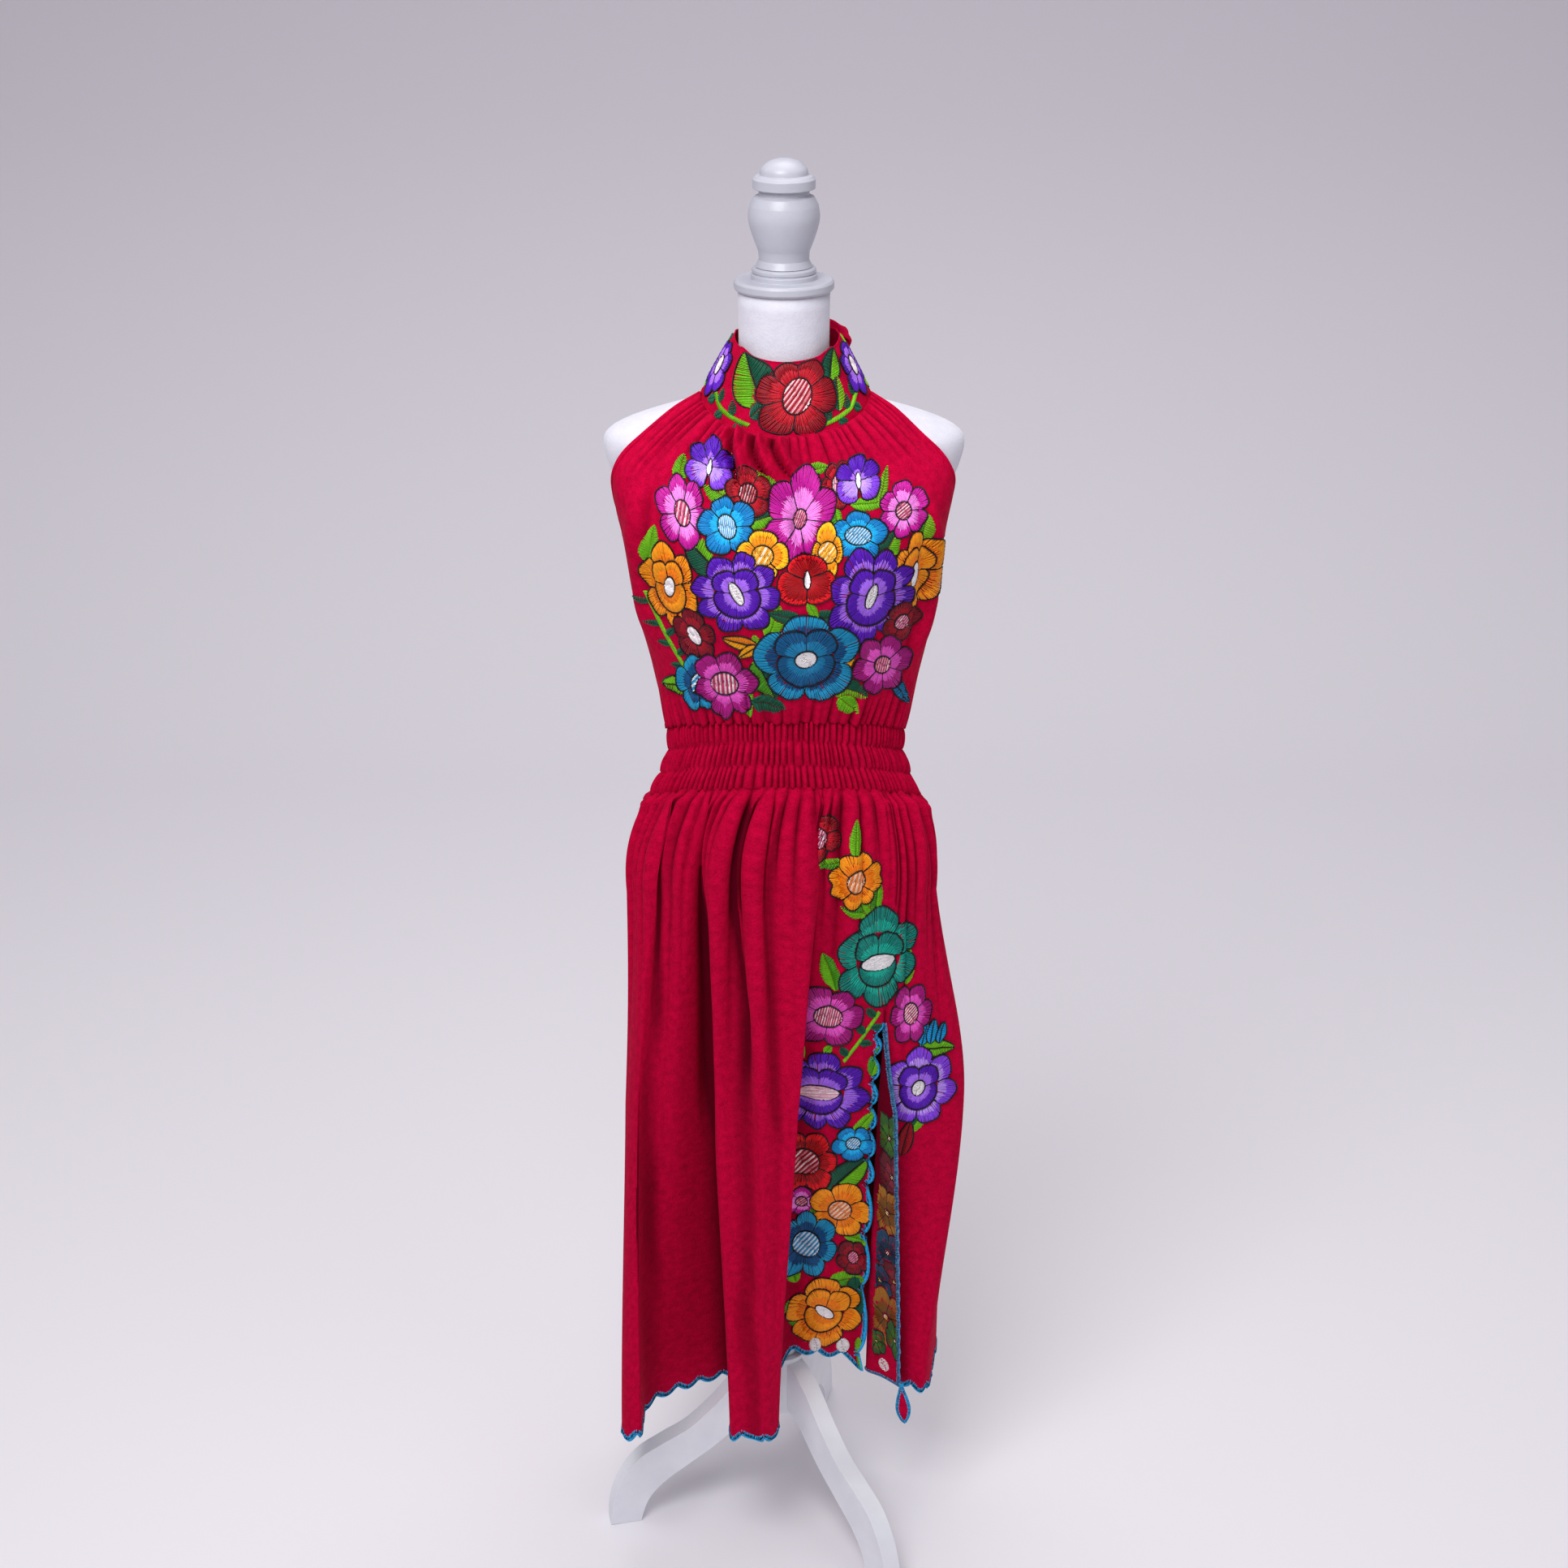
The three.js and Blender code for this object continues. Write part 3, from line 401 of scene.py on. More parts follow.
def mesh_object(name, points, faces, material, corner_map=None):
    """An object from points and faces. corner_map gives each point's place on the cloth map."""
    faces = faces.tolist() if isinstance(faces, np.ndarray) else faces
    mesh = bpy.data.meshes.new(name)
    mesh.from_pydata(np.asarray(points, float).tolist(), [], faces)
    mesh.polygons.foreach_set("use_smooth", [len(face) == 4 for face in faces])
    if corner_map is not None:
        layer = mesh.uv_layers.new(name="cloth")
        corners = np.empty(len(mesh.loops), int)
        mesh.loops.foreach_get("vertex_index", corners)
        layer.data.foreach_set("uv", np.asarray(corner_map)[corners].ravel())
    mesh.materials.append(material)
    mesh.update()
    return linked(name, mesh)


def grid_faces(rows, columns, closed=False):
    """Faces of a grid, wound to face outwards. A closed grid joins its last column to its first."""
    index = np.arange(rows * columns).reshape(rows, columns)
    if closed:
        index = np.concatenate([index, index[:, :1]], axis=1)
    a, b, c, d = index[:-1, :-1], index[1:, :-1], index[1:, 1:], index[:-1, 1:]
    return np.stack([a, b, c, d], -1).reshape(-1, 4)


def cleaned(piece, *steps):
    """Merge points that coincide, drop slivers or face the surface outwards, as the steps say."""
    work = bmesh.new()
    work.from_mesh(piece.data)
    if "merge" in steps:
        bmesh.ops.remove_doubles(work, verts=work.verts, dist=1e-5)
    if "slivers" in steps:
        bmesh.ops.dissolve_degenerate(work, edges=work.edges, dist=1e-6)
    if "outwards" in steps:
        bmesh.ops.recalc_face_normals(work, faces=work.faces)
    work.to_mesh(piece.data)
    work.free()


def give_thickness(piece):
    wall = piece.modifiers.new("cloth thickness", "SOLIDIFY")
    wall.thickness, wall.offset, wall.use_even_offset = CLOTH, -1.0, False


def shade_smooth(piece):
    piece.data.polygons.foreach_set("use_smooth", [True] * len(piece.data.polygons))


def soften(piece, width, degrees=28):
    """Round the edges sharper than this angle, and shade the rest smoothly."""
    edge = piece.modifiers.new("sanded edge", "BEVEL")
    edge.width, edge.segments = width, 2
    edge.limit_method, edge.angle_limit = "ANGLE", math.radians(degrees)
    edge.harden_normals = True
    shade_smooth(piece)


def counted(piece):
    """Print how many triangles a piece has with its modifiers."""
    evaluated = piece.evaluated_get(bpy.context.evaluated_depsgraph_get())
    mesh = evaluated.to_mesh()
    print(piece.name, "has", sum(len(p.vertices) - 2 for p in mesh.polygons), "triangles")
    evaluated.to_mesh_clear()
    return piece


# Store the painted fold shade on the mesh, where the cloth material reads it.
def paint_fold_shade(piece, deep):
    values = piece.data.attributes.new("fold_shade", "FLOAT", "POINT")
    values.data.foreach_set("value", deep.ravel())


def panel(name, grid, material):
    """A sewn panel from a grid of points, with its cloth map, its painted fold shade and its thickness."""
    flat_map = cloth_map_of(grid).reshape(-1, 2)
    made = mesh_object(name, placed(grid).reshape(-1, 3), grid_faces(*grid.shape[:2]), material, flat_map)
    paint_fold_shade(made, fold_shade_amount(grid))
    give_thickness(made)
    return counted(made)


def closed_loft(name, rings, material, ends=None):
    """A smooth closed body through rings of equal point count, ordered downwards. The ends are
    the middles of its top and bottom."""
    rows, columns = rings.shape[:2]
    ends = ends or [rings[0].mean(axis=0), rings[-1].mean(axis=0)]
    top, bottom, last_row = rows * columns, rows * columns + 1, (rows - 1) * columns
    faces = grid_faces(rows, columns, closed=True).tolist()
    for i in range(columns):
        k = (i + 1) % columns
        faces += [[top, i, k], [bottom, last_row + k, last_row + i]]
    return mesh_object(name, placed([*rings.reshape(-1, 3), *ends]), faces, material)

# %% [markdown]
# The dress form is moulded foam under a jersey cover drawn tight: broad smooth shoulders that drop
# to a bust, a waist and hips, and a plain round neck. It has no creases, so it is one smooth loft
# through level rings, closed at both ends. It replaces the model's coarser form.

# %% Dress form
FORM_RINGS = table(
    "z half front back",
    [
        (1.4910, 0.0460, 0.0460, 0.0460), (1.4200, 0.0460, 0.0460, 0.0460),
        (1.4020, 0.0530, 0.0460, 0.0490), (1.3890, 0.0680, 0.0425, 0.0550),
        (1.3830, 0.0810, 0.0425, 0.0600), (1.3760, 0.1030, 0.0435, 0.0650),
        (1.3640, 0.1460, 0.0590, 0.0770), (1.3520, 0.1750, 0.0730, 0.0840),
        (1.3380, 0.1840, 0.0850, 0.0910), (1.3120, 0.1780, 0.0970, 0.0980),
        (1.2750, 0.1640, 0.1090, 0.1030), (1.2150, 0.1560, 0.1170, 0.1010),
        (1.1500, 0.1430, 0.1050, 0.0930), (1.0900, 0.1280, 0.0860, 0.0860),
        (1.0400, 0.1170, 0.0765, 0.0820), (1.0000, 0.1175, 0.0770, 0.0835),
        (0.9500, 0.1290, 0.0800, 0.0910), (0.8800, 0.1450, 0.0830, 0.1020),
        (0.8150, 0.1490, 0.0820, 0.1020), (0.8000, 0.1420, 0.0760, 0.0950),
    ],
)
FORM_SIDES, RINGS_BETWEEN = 80, 4

form_steps = len(FORM_RINGS["z"]) - 1
form_rows = np.linspace(0, form_steps, form_steps * RINGS_BETWEEN + 1)[:, None]
form_turn = even_turn(FORM_SIDES)
form = {name: smooth(column, form_rows) for name, column in FORM_RINGS.items()}
form_depth = np.where(np.cos(form_turn) > 0, form["front"], form["back"])
form_grid = grid_of(form["half"] * np.sin(form_turn), -form_depth * np.cos(form_turn), form["z"])
form_cover = counted(closed_loft("jersey_form", form_grid, jersey))

# %% [markdown]
# The neck cap, finial, pole and hub are turned on a lathe, so each is a profile spun about the
# pole's axis: pairs of radius and height. The profile is drawn with its beads and coves, then
# rounded by a narrow bevel where two faces meet, as sanded and painted wood is.

# %% Turned wood
DISC_PROFILE = [
    (0, 1.4913), (0.0480, 1.4913), (0.0500, 1.4938), (0.0500, 1.4998), (0.0480, 1.5023),
    (0.0330, 1.5023), (0.0330, 1.5073), (0.0305, 1.5083), (0.0320, 1.5093), (0.0320, 1.5128),
    (0.0300, 1.5143), (0, 1.5143),
]
FINIAL_PROFILE = [
    (0, 1.5146), (0.0285, 1.5146), (0.0250, 1.5216), (0.0255, 1.5296), (0.0305, 1.5426),
    (0.0345, 1.5556), (0.0355, 1.5646), (0.0340, 1.5746), (0.0300, 1.5826), (0.0250, 1.5846),
    (0.0250, 1.5886), (0.0310, 1.5906), (0.0310, 1.5996), (0.0280, 1.6026), (0.0240, 1.6036),
    (0.0225, 1.6096), (0.0160, 1.6156), (0.0080, 1.6186), (0, 1.6196),
]
FINIAL_CURVES = {3: 7, 14: 18}  # first and last points of the runs that a smooth curve joins
CURVE_STEPS, LATHE_SIDES = 5, 72


def rounded_profile(points, curves):
    """The profile with its curved runs drawn finely."""
    drawn, k = [], 0
    while k < len(points):
        last = curves.get(k, k)
        fine = np.linspace(0, last - k, (last - k) * CURVE_STEPS + 1)
        drawn += smooth_line(points[k : last + 1], fine).tolist() if last > k else [points[k]]
        k = last + 1
    return drawn


def turned(name, profile, material, edge=0.0009):
    """A closed body spun from a profile that starts and ends on the axis, from low to high."""
    radius, z = np.array([point for point in profile if point[0] > 0])[::-1].T[..., None]
    turn = even_turn(LATHE_SIDES)
    rings = grid_of(radius * np.cos(turn), radius * np.sin(turn), z)
    ends = [(0, 0, profile[-1][1]), (0, 0, profile[0][1])]
    made = closed_loft(name, rings, material, ends)
    soften(made, edge)
    return counted(made)


def rod(radius, low, high):
    return [(0, low), (radius, low), (radius, high), (0, high)]


neck_cap = turned("painted_neck_cap", DISC_PROFILE, shaded_cap_paint, 0.0008)
finial = turned("painted_finial", rounded_profile(FINIAL_PROFILE, FINIAL_CURVES), shaded_cap_paint, 0.0005)
pole = turned("painted_pole", rod(0.0155, 0.2163, 0.7997), paint)
hub = turned("painted_hub", rod(0.0240, 0.1370, 0.2160), paint, 0.0015)

# %% [markdown]
# Each leg is sawn from a flat board along an S curve and butts against the round hub. The board's
# outline is drawn as radius from the pole and height, sliced through its thickness so that its
# inner end can follow the hub, and turned to its place. Its long edges are lightly rounded.

# %% Leg boards
LEG_TURNS = {"leg_left": 193, "leg_front": 306, "leg_back": 76}
LEG_UPPER = [
    (0.016, 0.210), (0.038, 0.204), (0.062, 0.184), (0.084, 0.159), (0.118, 0.128),
    (0.152, 0.110), (0.182, 0.092), (0.204, 0.062), (0.215, 0.030), (0.218, 0.0),
]
LEG_LOWER = [
    (0.016, 0.146), (0.038, 0.139), (0.058, 0.122), (0.086, 0.098), (0.118, 0.076),
    (0.150, 0.054), (0.171, 0.030), (0.181, 0.0),
]
BOARD, HUB_CLEAR = 0.022, 0.0244  # the board's thickness, and the radius that its end keeps
LEG_STEPS, LEG_SLICES, LEG_EDGE = 44, 7, 0.0018


def leg_board(name, turn, material):
    edges = [
        smooth_line(points, np.linspace(0, len(points) - 1, LEG_STEPS))
        for points in (LEG_UPPER, LEG_LOWER)
    ]
    outline = np.concatenate([edges[0], edges[1][::-1]])
    angle = math.radians(turn)
    along, beside = (math.cos(angle), math.sin(angle)), (-math.sin(angle), math.cos(angle))
    across = np.linspace(-BOARD / 2, BOARD / 2, LEG_SLICES)[:, None]
    radius = np.maximum(outline[:, 0], np.sqrt(HUB_CLEAR**2 - across**2))
    x, y = (along[k] * radius + beside[k] * across for k in (0, 1))
    slices = grid_of(x, y, np.maximum(outline[:, 1], 0))
    size, last = 2 * LEG_STEPS, (LEG_SLICES - 1) * 2 * LEG_STEPS
    faces = grid_faces(LEG_SLICES, size, closed=True).tolist()
    for n in range(LEG_STEPS - 1):
        side = [n, size - 1 - n, size - 2 - n, n + 1]
        faces += [side, [last + k for k in side[::-1]]]
    made = mesh_object(name, placed(slices).reshape(-1, 3), faces, material)
    cleaned(made, "merge", "outwards")
    soften(made, LEG_EDGE, 40)
    return counted(made)


legs = {name: leg_board("painted_" + name, turn, paint) for name, turn in LEG_TURNS.items()}


# %% [markdown]
# Gathered cloth stands in soft ridges with narrow valleys between, no two alike. One function
# makes such a row of gathers: every gather has its own height and its own length, from a fixed
# seed. Another draws a single fold along a listed path. Heights are laid over the smooth
# panel and move its points outwards.

# %% Gathers and folds
def ease(share):
    share = np.clip(share, 0, 1)
    return share * share * (3 - 2 * share)


def gathers(across, distance, count, height, reach, sharp=0.75, seed=1, drift=0.25):
    """Heights of a row of gathers. across runs from 0 to 1 along the stitching and distance is
    how far each point is from it. Heights and reaches are (least, most)."""
    draw = np.random.default_rng(seed)
    sway = sum(
        draw.uniform(0.3, 1) * np.sin(FULL_TURN * (n * across + draw.random())) for n in (2, 3, 5, 7)
    )
    phase = count * across + drift * sway
    number = np.clip(np.round(phase).astype(int) + 3, 0, count + 6)
    tall = draw.uniform(*height, count + 7)[number]
    long = draw.uniform(*reach, count + 7)[number]
    crest = np.abs(np.cos(math.pi * phase)) ** sharp
    return tall * crest * np.exp(-((distance / long) ** 2))


def fold(grid, path, height, width, lean=0.0, ends=0.3):
    """Height of one fold along a path of (x, z) places, from its upper to its lower end: a ridge,
    or a groove where the height is negative. lean raises one side and sinks the other."""
    line_x, line_z = np.array(path)[::-1].T
    x, z = grid[..., 0], grid[..., 2]
    off = (x - np.interp(z, line_z, line_x)) / width
    run = ends * (line_z[-1] - line_z[0])
    fade = ease((line_z[-1] - z) / run) * ease((z - line_z[0]) / run)
    return height * fade * (1 + lean * 1.6 * off) * np.exp(-(off**2))


def folds_over(grid, folds):
    return sum(fold(grid, *one) for one in folds)


def down_columns(grid):
    """Distance of each point from the first row, along its own column."""
    step = np.linalg.norm(np.diff(grid, axis=0), axis=-1)
    return np.concatenate([np.zeros((1, grid.shape[1])), np.cumsum(step, axis=0)])


# %% [markdown]
# The bodice front is one panel. Its upper edge is gathered into the collar seam, its sides are the
# cut-away armholes and, below them, the side seams, and its lower edge is gathered into the waist.
# Rings from collar to waist give the body under it. Pleats fan out from the collar, a few surplus
# folds sag in an S beside centre front, and long soft folds run along the armholes.

# %% Bodice front
BODICE = table(
    "left right front side_y z_front z_side",
    [
        (0.0833, 0.0868, 0.0780, -0.0020, 1.3626, 1.3860),
        (0.1080, 0.1080, 0.0900, -0.0320, 1.3450, 1.3790),
        (0.1380, 0.1340, 0.1010, -0.0460, 1.3200, 1.3580),
        (0.1580, 0.1540, 0.1120, -0.0570, 1.2940, 1.3420),
        (0.1680, 0.1650, 0.1200, -0.0590, 1.2680, 1.3270),
        (0.1720, 0.1700, 0.1260, -0.0520, 1.2430, 1.3110),
        (0.1715, 0.1690, 0.1280, -0.0340, 1.2180, 1.2870),
        (0.1685, 0.1670, 0.1270, -0.0160, 1.1940, 1.2630),
        (0.1660, 0.1650, 0.1230, 0.0020, 1.1700, 1.2360),
        (0.1590, 0.1610, 0.1140, 0.0040, 1.1420, 1.1850),
        (0.1470, 0.1520, 0.1040, 0.0040, 1.1150, 1.1300),
        (0.1340, 0.1390, 0.0940, 0.0030, 1.0890, 1.0720),
        (0.1210, 0.1240, 0.0830, 0.0000, 1.0650, 1.0220),
    ],
)
BODICE["back"] = BODICE["z_back"] = 0 * BODICE["left"]
BODICE_STEPS = len(BODICE["left"]) - 1
UNDERARM = 8  # the row where the armholes end and the side seams begin
BODICE_ROWS, BODICE_COLUMNS = 84, 216


def shares(count):
    """Even shares from 0 to 1, one to a column."""
    return np.linspace(0, 1, count + 1)[None, :]


def steps(last, count):
    """Even positions from 0 to the last, one to a row."""
    return np.linspace(0, last, count + 1)[:, None]


bodice_share = shares(BODICE_COLUMNS)
bodice_row = steps(BODICE_STEPS, BODICE_ROWS)
bodice_base = ring(BODICE, bodice_row, -QUARTER + 2 * QUARTER * bodice_share)
from_collar = down_columns(bodice_base)
from_waist = from_collar[-1:] - from_collar

# Longest at the shoulders, short at the centre, where the embroidery holds the cloth flat.
shoulder = np.abs(2 * bodice_share - 1)
pleat_reach = from_collar / (0.45 + 0.9 * shoulder)
pleats = gathers(bodice_share, pleat_reach, 27, (0.0036, 0.0084), (0.035, 0.080), 0.55, seed=4)
pleats *= ease(from_collar / 0.004)
waist_gathers = gathers(bodice_share, from_waist, 38, (0.0040, 0.0070), (0.014, 0.046), 0.6, seed=9)
waist_folds = gathers(bodice_share, from_waist, 23, (0.0006, 0.0040), (0.03, 0.07), seed=12)
BODICE_FOLDS = [
    # path from top to bottom, height, width, lean
    ([(-0.024, 1.385), (-0.026, 1.345), (-0.016, 1.296)], 0.0110, 0.0360, 0),
    ([(-0.046, 1.380), (-0.054, 1.352), (-0.052, 1.338), (-0.042, 1.310)], -0.0150, 0.0044, 0.5),
    ([(-0.037, 1.380), (-0.044, 1.352), (-0.041, 1.338), (-0.031, 1.310)], 0.0120, 0.0050, -0.4),
    ([(-0.026, 1.378), (-0.032, 1.352), (-0.027, 1.338), (-0.012, 1.316)], -0.0150, 0.0042, 0.5),
    ([(-0.018, 1.378), (-0.023, 1.352), (-0.017, 1.338), (-0.002, 1.316)], 0.0115, 0.0048, -0.4),
    ([(-0.008, 1.376), (-0.012, 1.352), (-0.006, 1.340), (0.009, 1.320)], -0.0130, 0.0038, 0.5),
    ([(0.000, 1.376), (-0.004, 1.352), (0.003, 1.340), (0.017, 1.320)], 0.0090, 0.0044, -0.4),
    ([(0.004, 1.305), (0.008, 1.280), (0.018, 1.250), (0.026, 1.215)], -0.0080, 0.0070, 0.8),
    ([(0.033, 1.300), (0.036, 1.262), (0.036, 1.230)], 0.0030, 0.0060, 0.4),
    ([(-0.150, 1.330), (-0.154, 1.260), (-0.148, 1.180), (-0.136, 1.110)], 0.0070, 0.0090, 0.5),
    ([(-0.128, 1.340), (-0.141, 1.270), (-0.137, 1.180)], -0.0040, 0.0060, 0.3),
    ([(0.140, 1.335), (0.153, 1.260), (0.151, 1.180), (0.134, 1.090)], 0.0085, 0.0090, -0.5),
    ([(0.128, 1.340), (0.142, 1.265), (0.139, 1.180), (0.124, 1.100)], -0.0050, 0.0060, -0.3),
]
held_by_collar = ease(from_collar / 0.009)
bodice_height = pleats + waist_gathers + waist_folds
bodice_height = bodice_height + folds_over(bodice_base, BODICE_FOLDS) * held_by_collar
bodice_grid = raised(bodice_base, bodice_height)
bodice_front = panel("gathered_bodice_front", bodice_grid, red_cotton)

# %% [markdown]
# The back of the bodice is low and plain: it runs between the side seams under the bare shoulder
# blades, with its own few gathers into the waist. It is drawn from the same rings, so that it meets
# the front at the side seams.

# %% Bodice back
BACK_DEPTHS = table(
    "back z_back",
    [(0.1055, 1.196), (0.1010, 1.160), (0.0960, 1.116), (0.0910, 1.068), (0.0860, 1.022)],
)
BACK_ROWS, BACK_COLUMNS = 44, 120
back_table = {name: column[UNDERARM:] for name, column in BODICE.items()} | BACK_DEPTHS
back_share = shares(BACK_COLUMNS)
back_row = steps(BODICE_STEPS - UNDERARM, BACK_ROWS)
back_base = ring(back_table, back_row, QUARTER + 2 * QUARTER * back_share)
back_down = down_columns(back_base)
back_up = back_down[-1:] - back_down
back_height = gathers(back_share, back_up, 44, (0.0018, 0.0036), (0.012, 0.04), 0.6, seed=21)
back_height = back_height + gathers(back_share, back_up, 14, (0.0008, 0.0040), (0.04, 0.10), seed=22)
back_grid = raised(back_base, back_height)
bodice_back = panel("gathered_bodice_back", back_grid, red_cotton)

# %% [markdown]
# The waist is shirred: four rows of elastic thread draw the cloth into fine upright tubes that
# puff out between the rows. The rows arch up at centre front. Each strip between two rows has
# gathers of its own, because the elastic catches the cloth afresh at every row.

# %% Shirred waist
BAND = table(
    "left right front back side_y z_front z_side z_back",
    [
        (0.1210, 0.1240, 0.0830, 0.0860, 0, 1.0647, 1.0217, 1.0217),
        (0.1215, 0.1245, 0.0840, 0.0870, 0, 1.0390, 0.9930, 0.9930),
        (0.1310, 0.1340, 0.0860, 0.0920, 0, 1.0130, 0.9650, 0.9650),
        (0.1440, 0.1460, 0.0890, 0.0970, 0, 0.9880, 0.9380, 0.9380),
    ],
)
STRIP_ROWS, GATHER_COLUMNS = 8, 8
GATHER_HEIGHT, ROW_PINCH = 0.0086, 0.0036


def tucked_under(grid, up=0.0035, inward=0.0024):
    """The first row of a grid, carried up behind the piece that it is sewn to."""
    return grid[0] - grid_normals(grid)[0] * inward + [0, 0, up]


def shirred(name, start, count, seed):
    """A half of the band, from one side seam to the other. start is its first angle."""
    strips = len(BAND["left"]) - 1
    row = steps(strips, strips * STRIP_ROWS)
    share = shares(count * GATHER_COLUMNS)
    strip_of_row = np.minimum(np.floor(row), strips - 1)
    puff = np.sin(math.pi * (row - strip_of_row)) ** 0.55
    height = 0
    for strip in range(strips):
        own = gathers(share, 0 * row, count, (0.5, 1.0), (1, 1), 0.55, seed + strip, drift=0.35)
        tall = ROW_PINCH + (GATHER_HEIGHT - ROW_PINCH) * puff
        height = height + (strip_of_row == strip) * own * tall
    at_seam = ease(np.minimum(share, 1 - share) / 0.012)  # the side seams lie flat and meet
    grid = raised(ring(BAND, row, start + 2 * QUARTER * share), height * at_seam - 0.0012)
    grid[0] = tucked_under(grid)
    return panel(name, grid, red_cotton), grid


waist_front, waist_front_grid = shirred("shirred_waist_front", -QUARTER, 62, 31)
waist_back, waist_back_grid = shirred("shirred_waist_back", QUARTER, 46, 41)

# %% [markdown]
# The skirt hangs from the shirring. Each named fold is one line down the cloth: where it stands at
# the hip, at mid height and at the hem, seen from above, and how far the hem rises there. A smooth
# curve joins the folds round the skirt, and another joins the three heights. The front is slit at
# the viewer's right, and the slit's right edge turns back and shows its wrong side.

# %% Skirt folds
HEM_HEIGHT, SCALLOP, SCALLOP_DEPTH = 0.178, 0.029, 0.009
HIP_SHARE, MIDDLE_SHARE, SLIT_SHARE, LAPEL_TURN = 0.14, 0.46, 0.33, 0.16
FOLD_COLUMNS = "hip_x hip_y middle_x middle_y hem_x hem_y rise"
FRONT_FOLDS = {
    "side seam left": (-0.165, 0.002, -0.178, 0.002, -0.182, 0.004, 0),
    "left corner": (-0.165, -0.042, -0.181, -0.070, -0.195, -0.104, -0.004),
    "left tip": (-0.149, -0.084, -0.162, -0.104, -0.164, -0.124, 0.006),
    "left crease": (-0.133, -0.084, -0.149, -0.086, -0.158, -0.062, 0),
    "left panel": (-0.111, -0.098, -0.119, -0.084, -0.122, -0.030, 0),
    "left valley": (-0.086, -0.084, -0.074, -0.056, -0.058, -0.010, 0),
    "ridge one": (-0.073, -0.112, -0.077, -0.112, -0.066, -0.114, 0),
    "dip one": (-0.046, -0.101, -0.042, -0.110, -0.036, -0.120, 0),
    "ridge two": (-0.033, -0.114, -0.026, -0.124, -0.024, -0.128, 0),
    "dip two": (-0.016, -0.107, -0.010, -0.117, -0.012, -0.120, 0),
    "fold edge": (0.031, -0.120, 0.017, -0.120, -0.003, -0.102, 0),
    "tuck": (0.022, -0.106, 0.009, -0.092, -0.008, -0.056, 0.024),
    "panel start": (0.036, -0.101, 0.021, -0.078, 0.008, -0.029, 0.050),
    "panel middle": (0.062, -0.106, 0.050, -0.086, 0.038, -0.027, 0.048),
    "panel end": (0.092, -0.099, 0.084, -0.082, 0.075, -0.023, 0.040),
    "slit edge left": (0.117, -0.088, 0.104, -0.077, 0.095, -0.032, 0.020),
}
LAPEL_FOLDS = {
    "lapel edge": (0.117, -0.088, 0.125, -0.088, 0.138, -0.048, 0.014),
    "lapel middle": (0.117, -0.088, 0.114, -0.084, 0.117, -0.028, 0.014),
    "lapel fold": (0.117, -0.088, 0.106, -0.076, 0.099, -0.016, 0.014),
    "slit edge right": (0.117, -0.088, 0.108, -0.068, 0.104, -0.006, 0.014),
}
RIGHT_FOLDS = {
    "slit edge right": (0.117, -0.088, 0.108, -0.068, 0.104, -0.006, 0.014),
    "right panel": (0.134, -0.078, 0.138, -0.070, 0.130, -0.028, 0.012),
    "right ridge": (0.152, -0.060, 0.172, -0.062, 0.152, -0.046, 0.012),
    "right tip": (0.162, -0.034, 0.204, -0.044, 0.171, -0.046, 0.010),
    "right side": (0.165, -0.014, 0.201, -0.016, 0.183, -0.012, 0.004),
    "side seam right": (0.165, 0.002, 0.189, 0.006, 0.184, 0.006, 0.002),
}
BACK_FOLDS = {
    "side seam right": (0.165, 0.002, 0.189, 0.006, 0.184, 0.006, 0.002),
    "back ridge one": (0.160, 0.044, 0.186, 0.062, 0.190, 0.074, 0),
    "back valley one": (0.140, 0.070, 0.142, 0.072, 0.132, 0.058, 0),
    "back ridge two": (0.118, 0.099, 0.126, 0.116, 0.126, 0.126, 0),
    "back valley two": (0.092, 0.102, 0.084, 0.092, 0.070, 0.070, 0),
    "back ridge three": (0.064, 0.121, 0.058, 0.130, 0.050, 0.138, 0),
    "back valley three": (0.033, 0.115, 0.025, 0.112, 0.014, 0.096, 0),
    "back ridge four": (0.002, 0.128, -0.008, 0.134, -0.020, 0.142, 0),
    "back valley four": (-0.034, 0.116, -0.038, 0.106, -0.046, 0.080, 0),
    "back ridge five": (-0.066, 0.121, -0.074, 0.128, -0.084, 0.134, 0),
    "back valley five": (-0.098, 0.098, -0.100, 0.088, -0.104, 0.066, 0),
    "back ridge six": (-0.128, 0.089, -0.144, 0.102, -0.156, 0.112, 0),
    "back valley six": (-0.152, 0.056, -0.156, 0.056, -0.158, 0.046, 0),
    "side seam left": (-0.165, 0.002, -0.178, 0.002, -0.182, 0.004, 0),
}


def folds_table(folds):
    return table(FOLD_COLUMNS, list(folds.values()))


def fold_length(folds, line, position):
    """Length of the hip or hem line, as line says, from the first fold to a position, and in all."""
    fine = np.linspace(0, len(folds["hem_x"]) - 1, 800)
    length = reach_along(np.stack([smooth(folds[line + axis], fine) for axis in ("_x", "_y")], -1))
    return np.interp(position, fine, length), length[-1]


HIP_WEIGHT = 3.0  # the fine gathers at the hip need more columns than the hem's long folds


def evenly(folds, count):
    """Positions along the folds that part the hem and the hip into even steps."""
    fine = np.linspace(0, len(folds["hem_x"]) - 1, 800)
    both = fold_length(folds, "hem", fine)[0] + HIP_WEIGHT * fold_length(folds, "hip", fine)[0]
    return np.interp(np.linspace(0, both[-1], count + 1), both, fine)


STRAIGHT_SHARE = 0.80  # how far the columns run straight down, rather than evenly spread


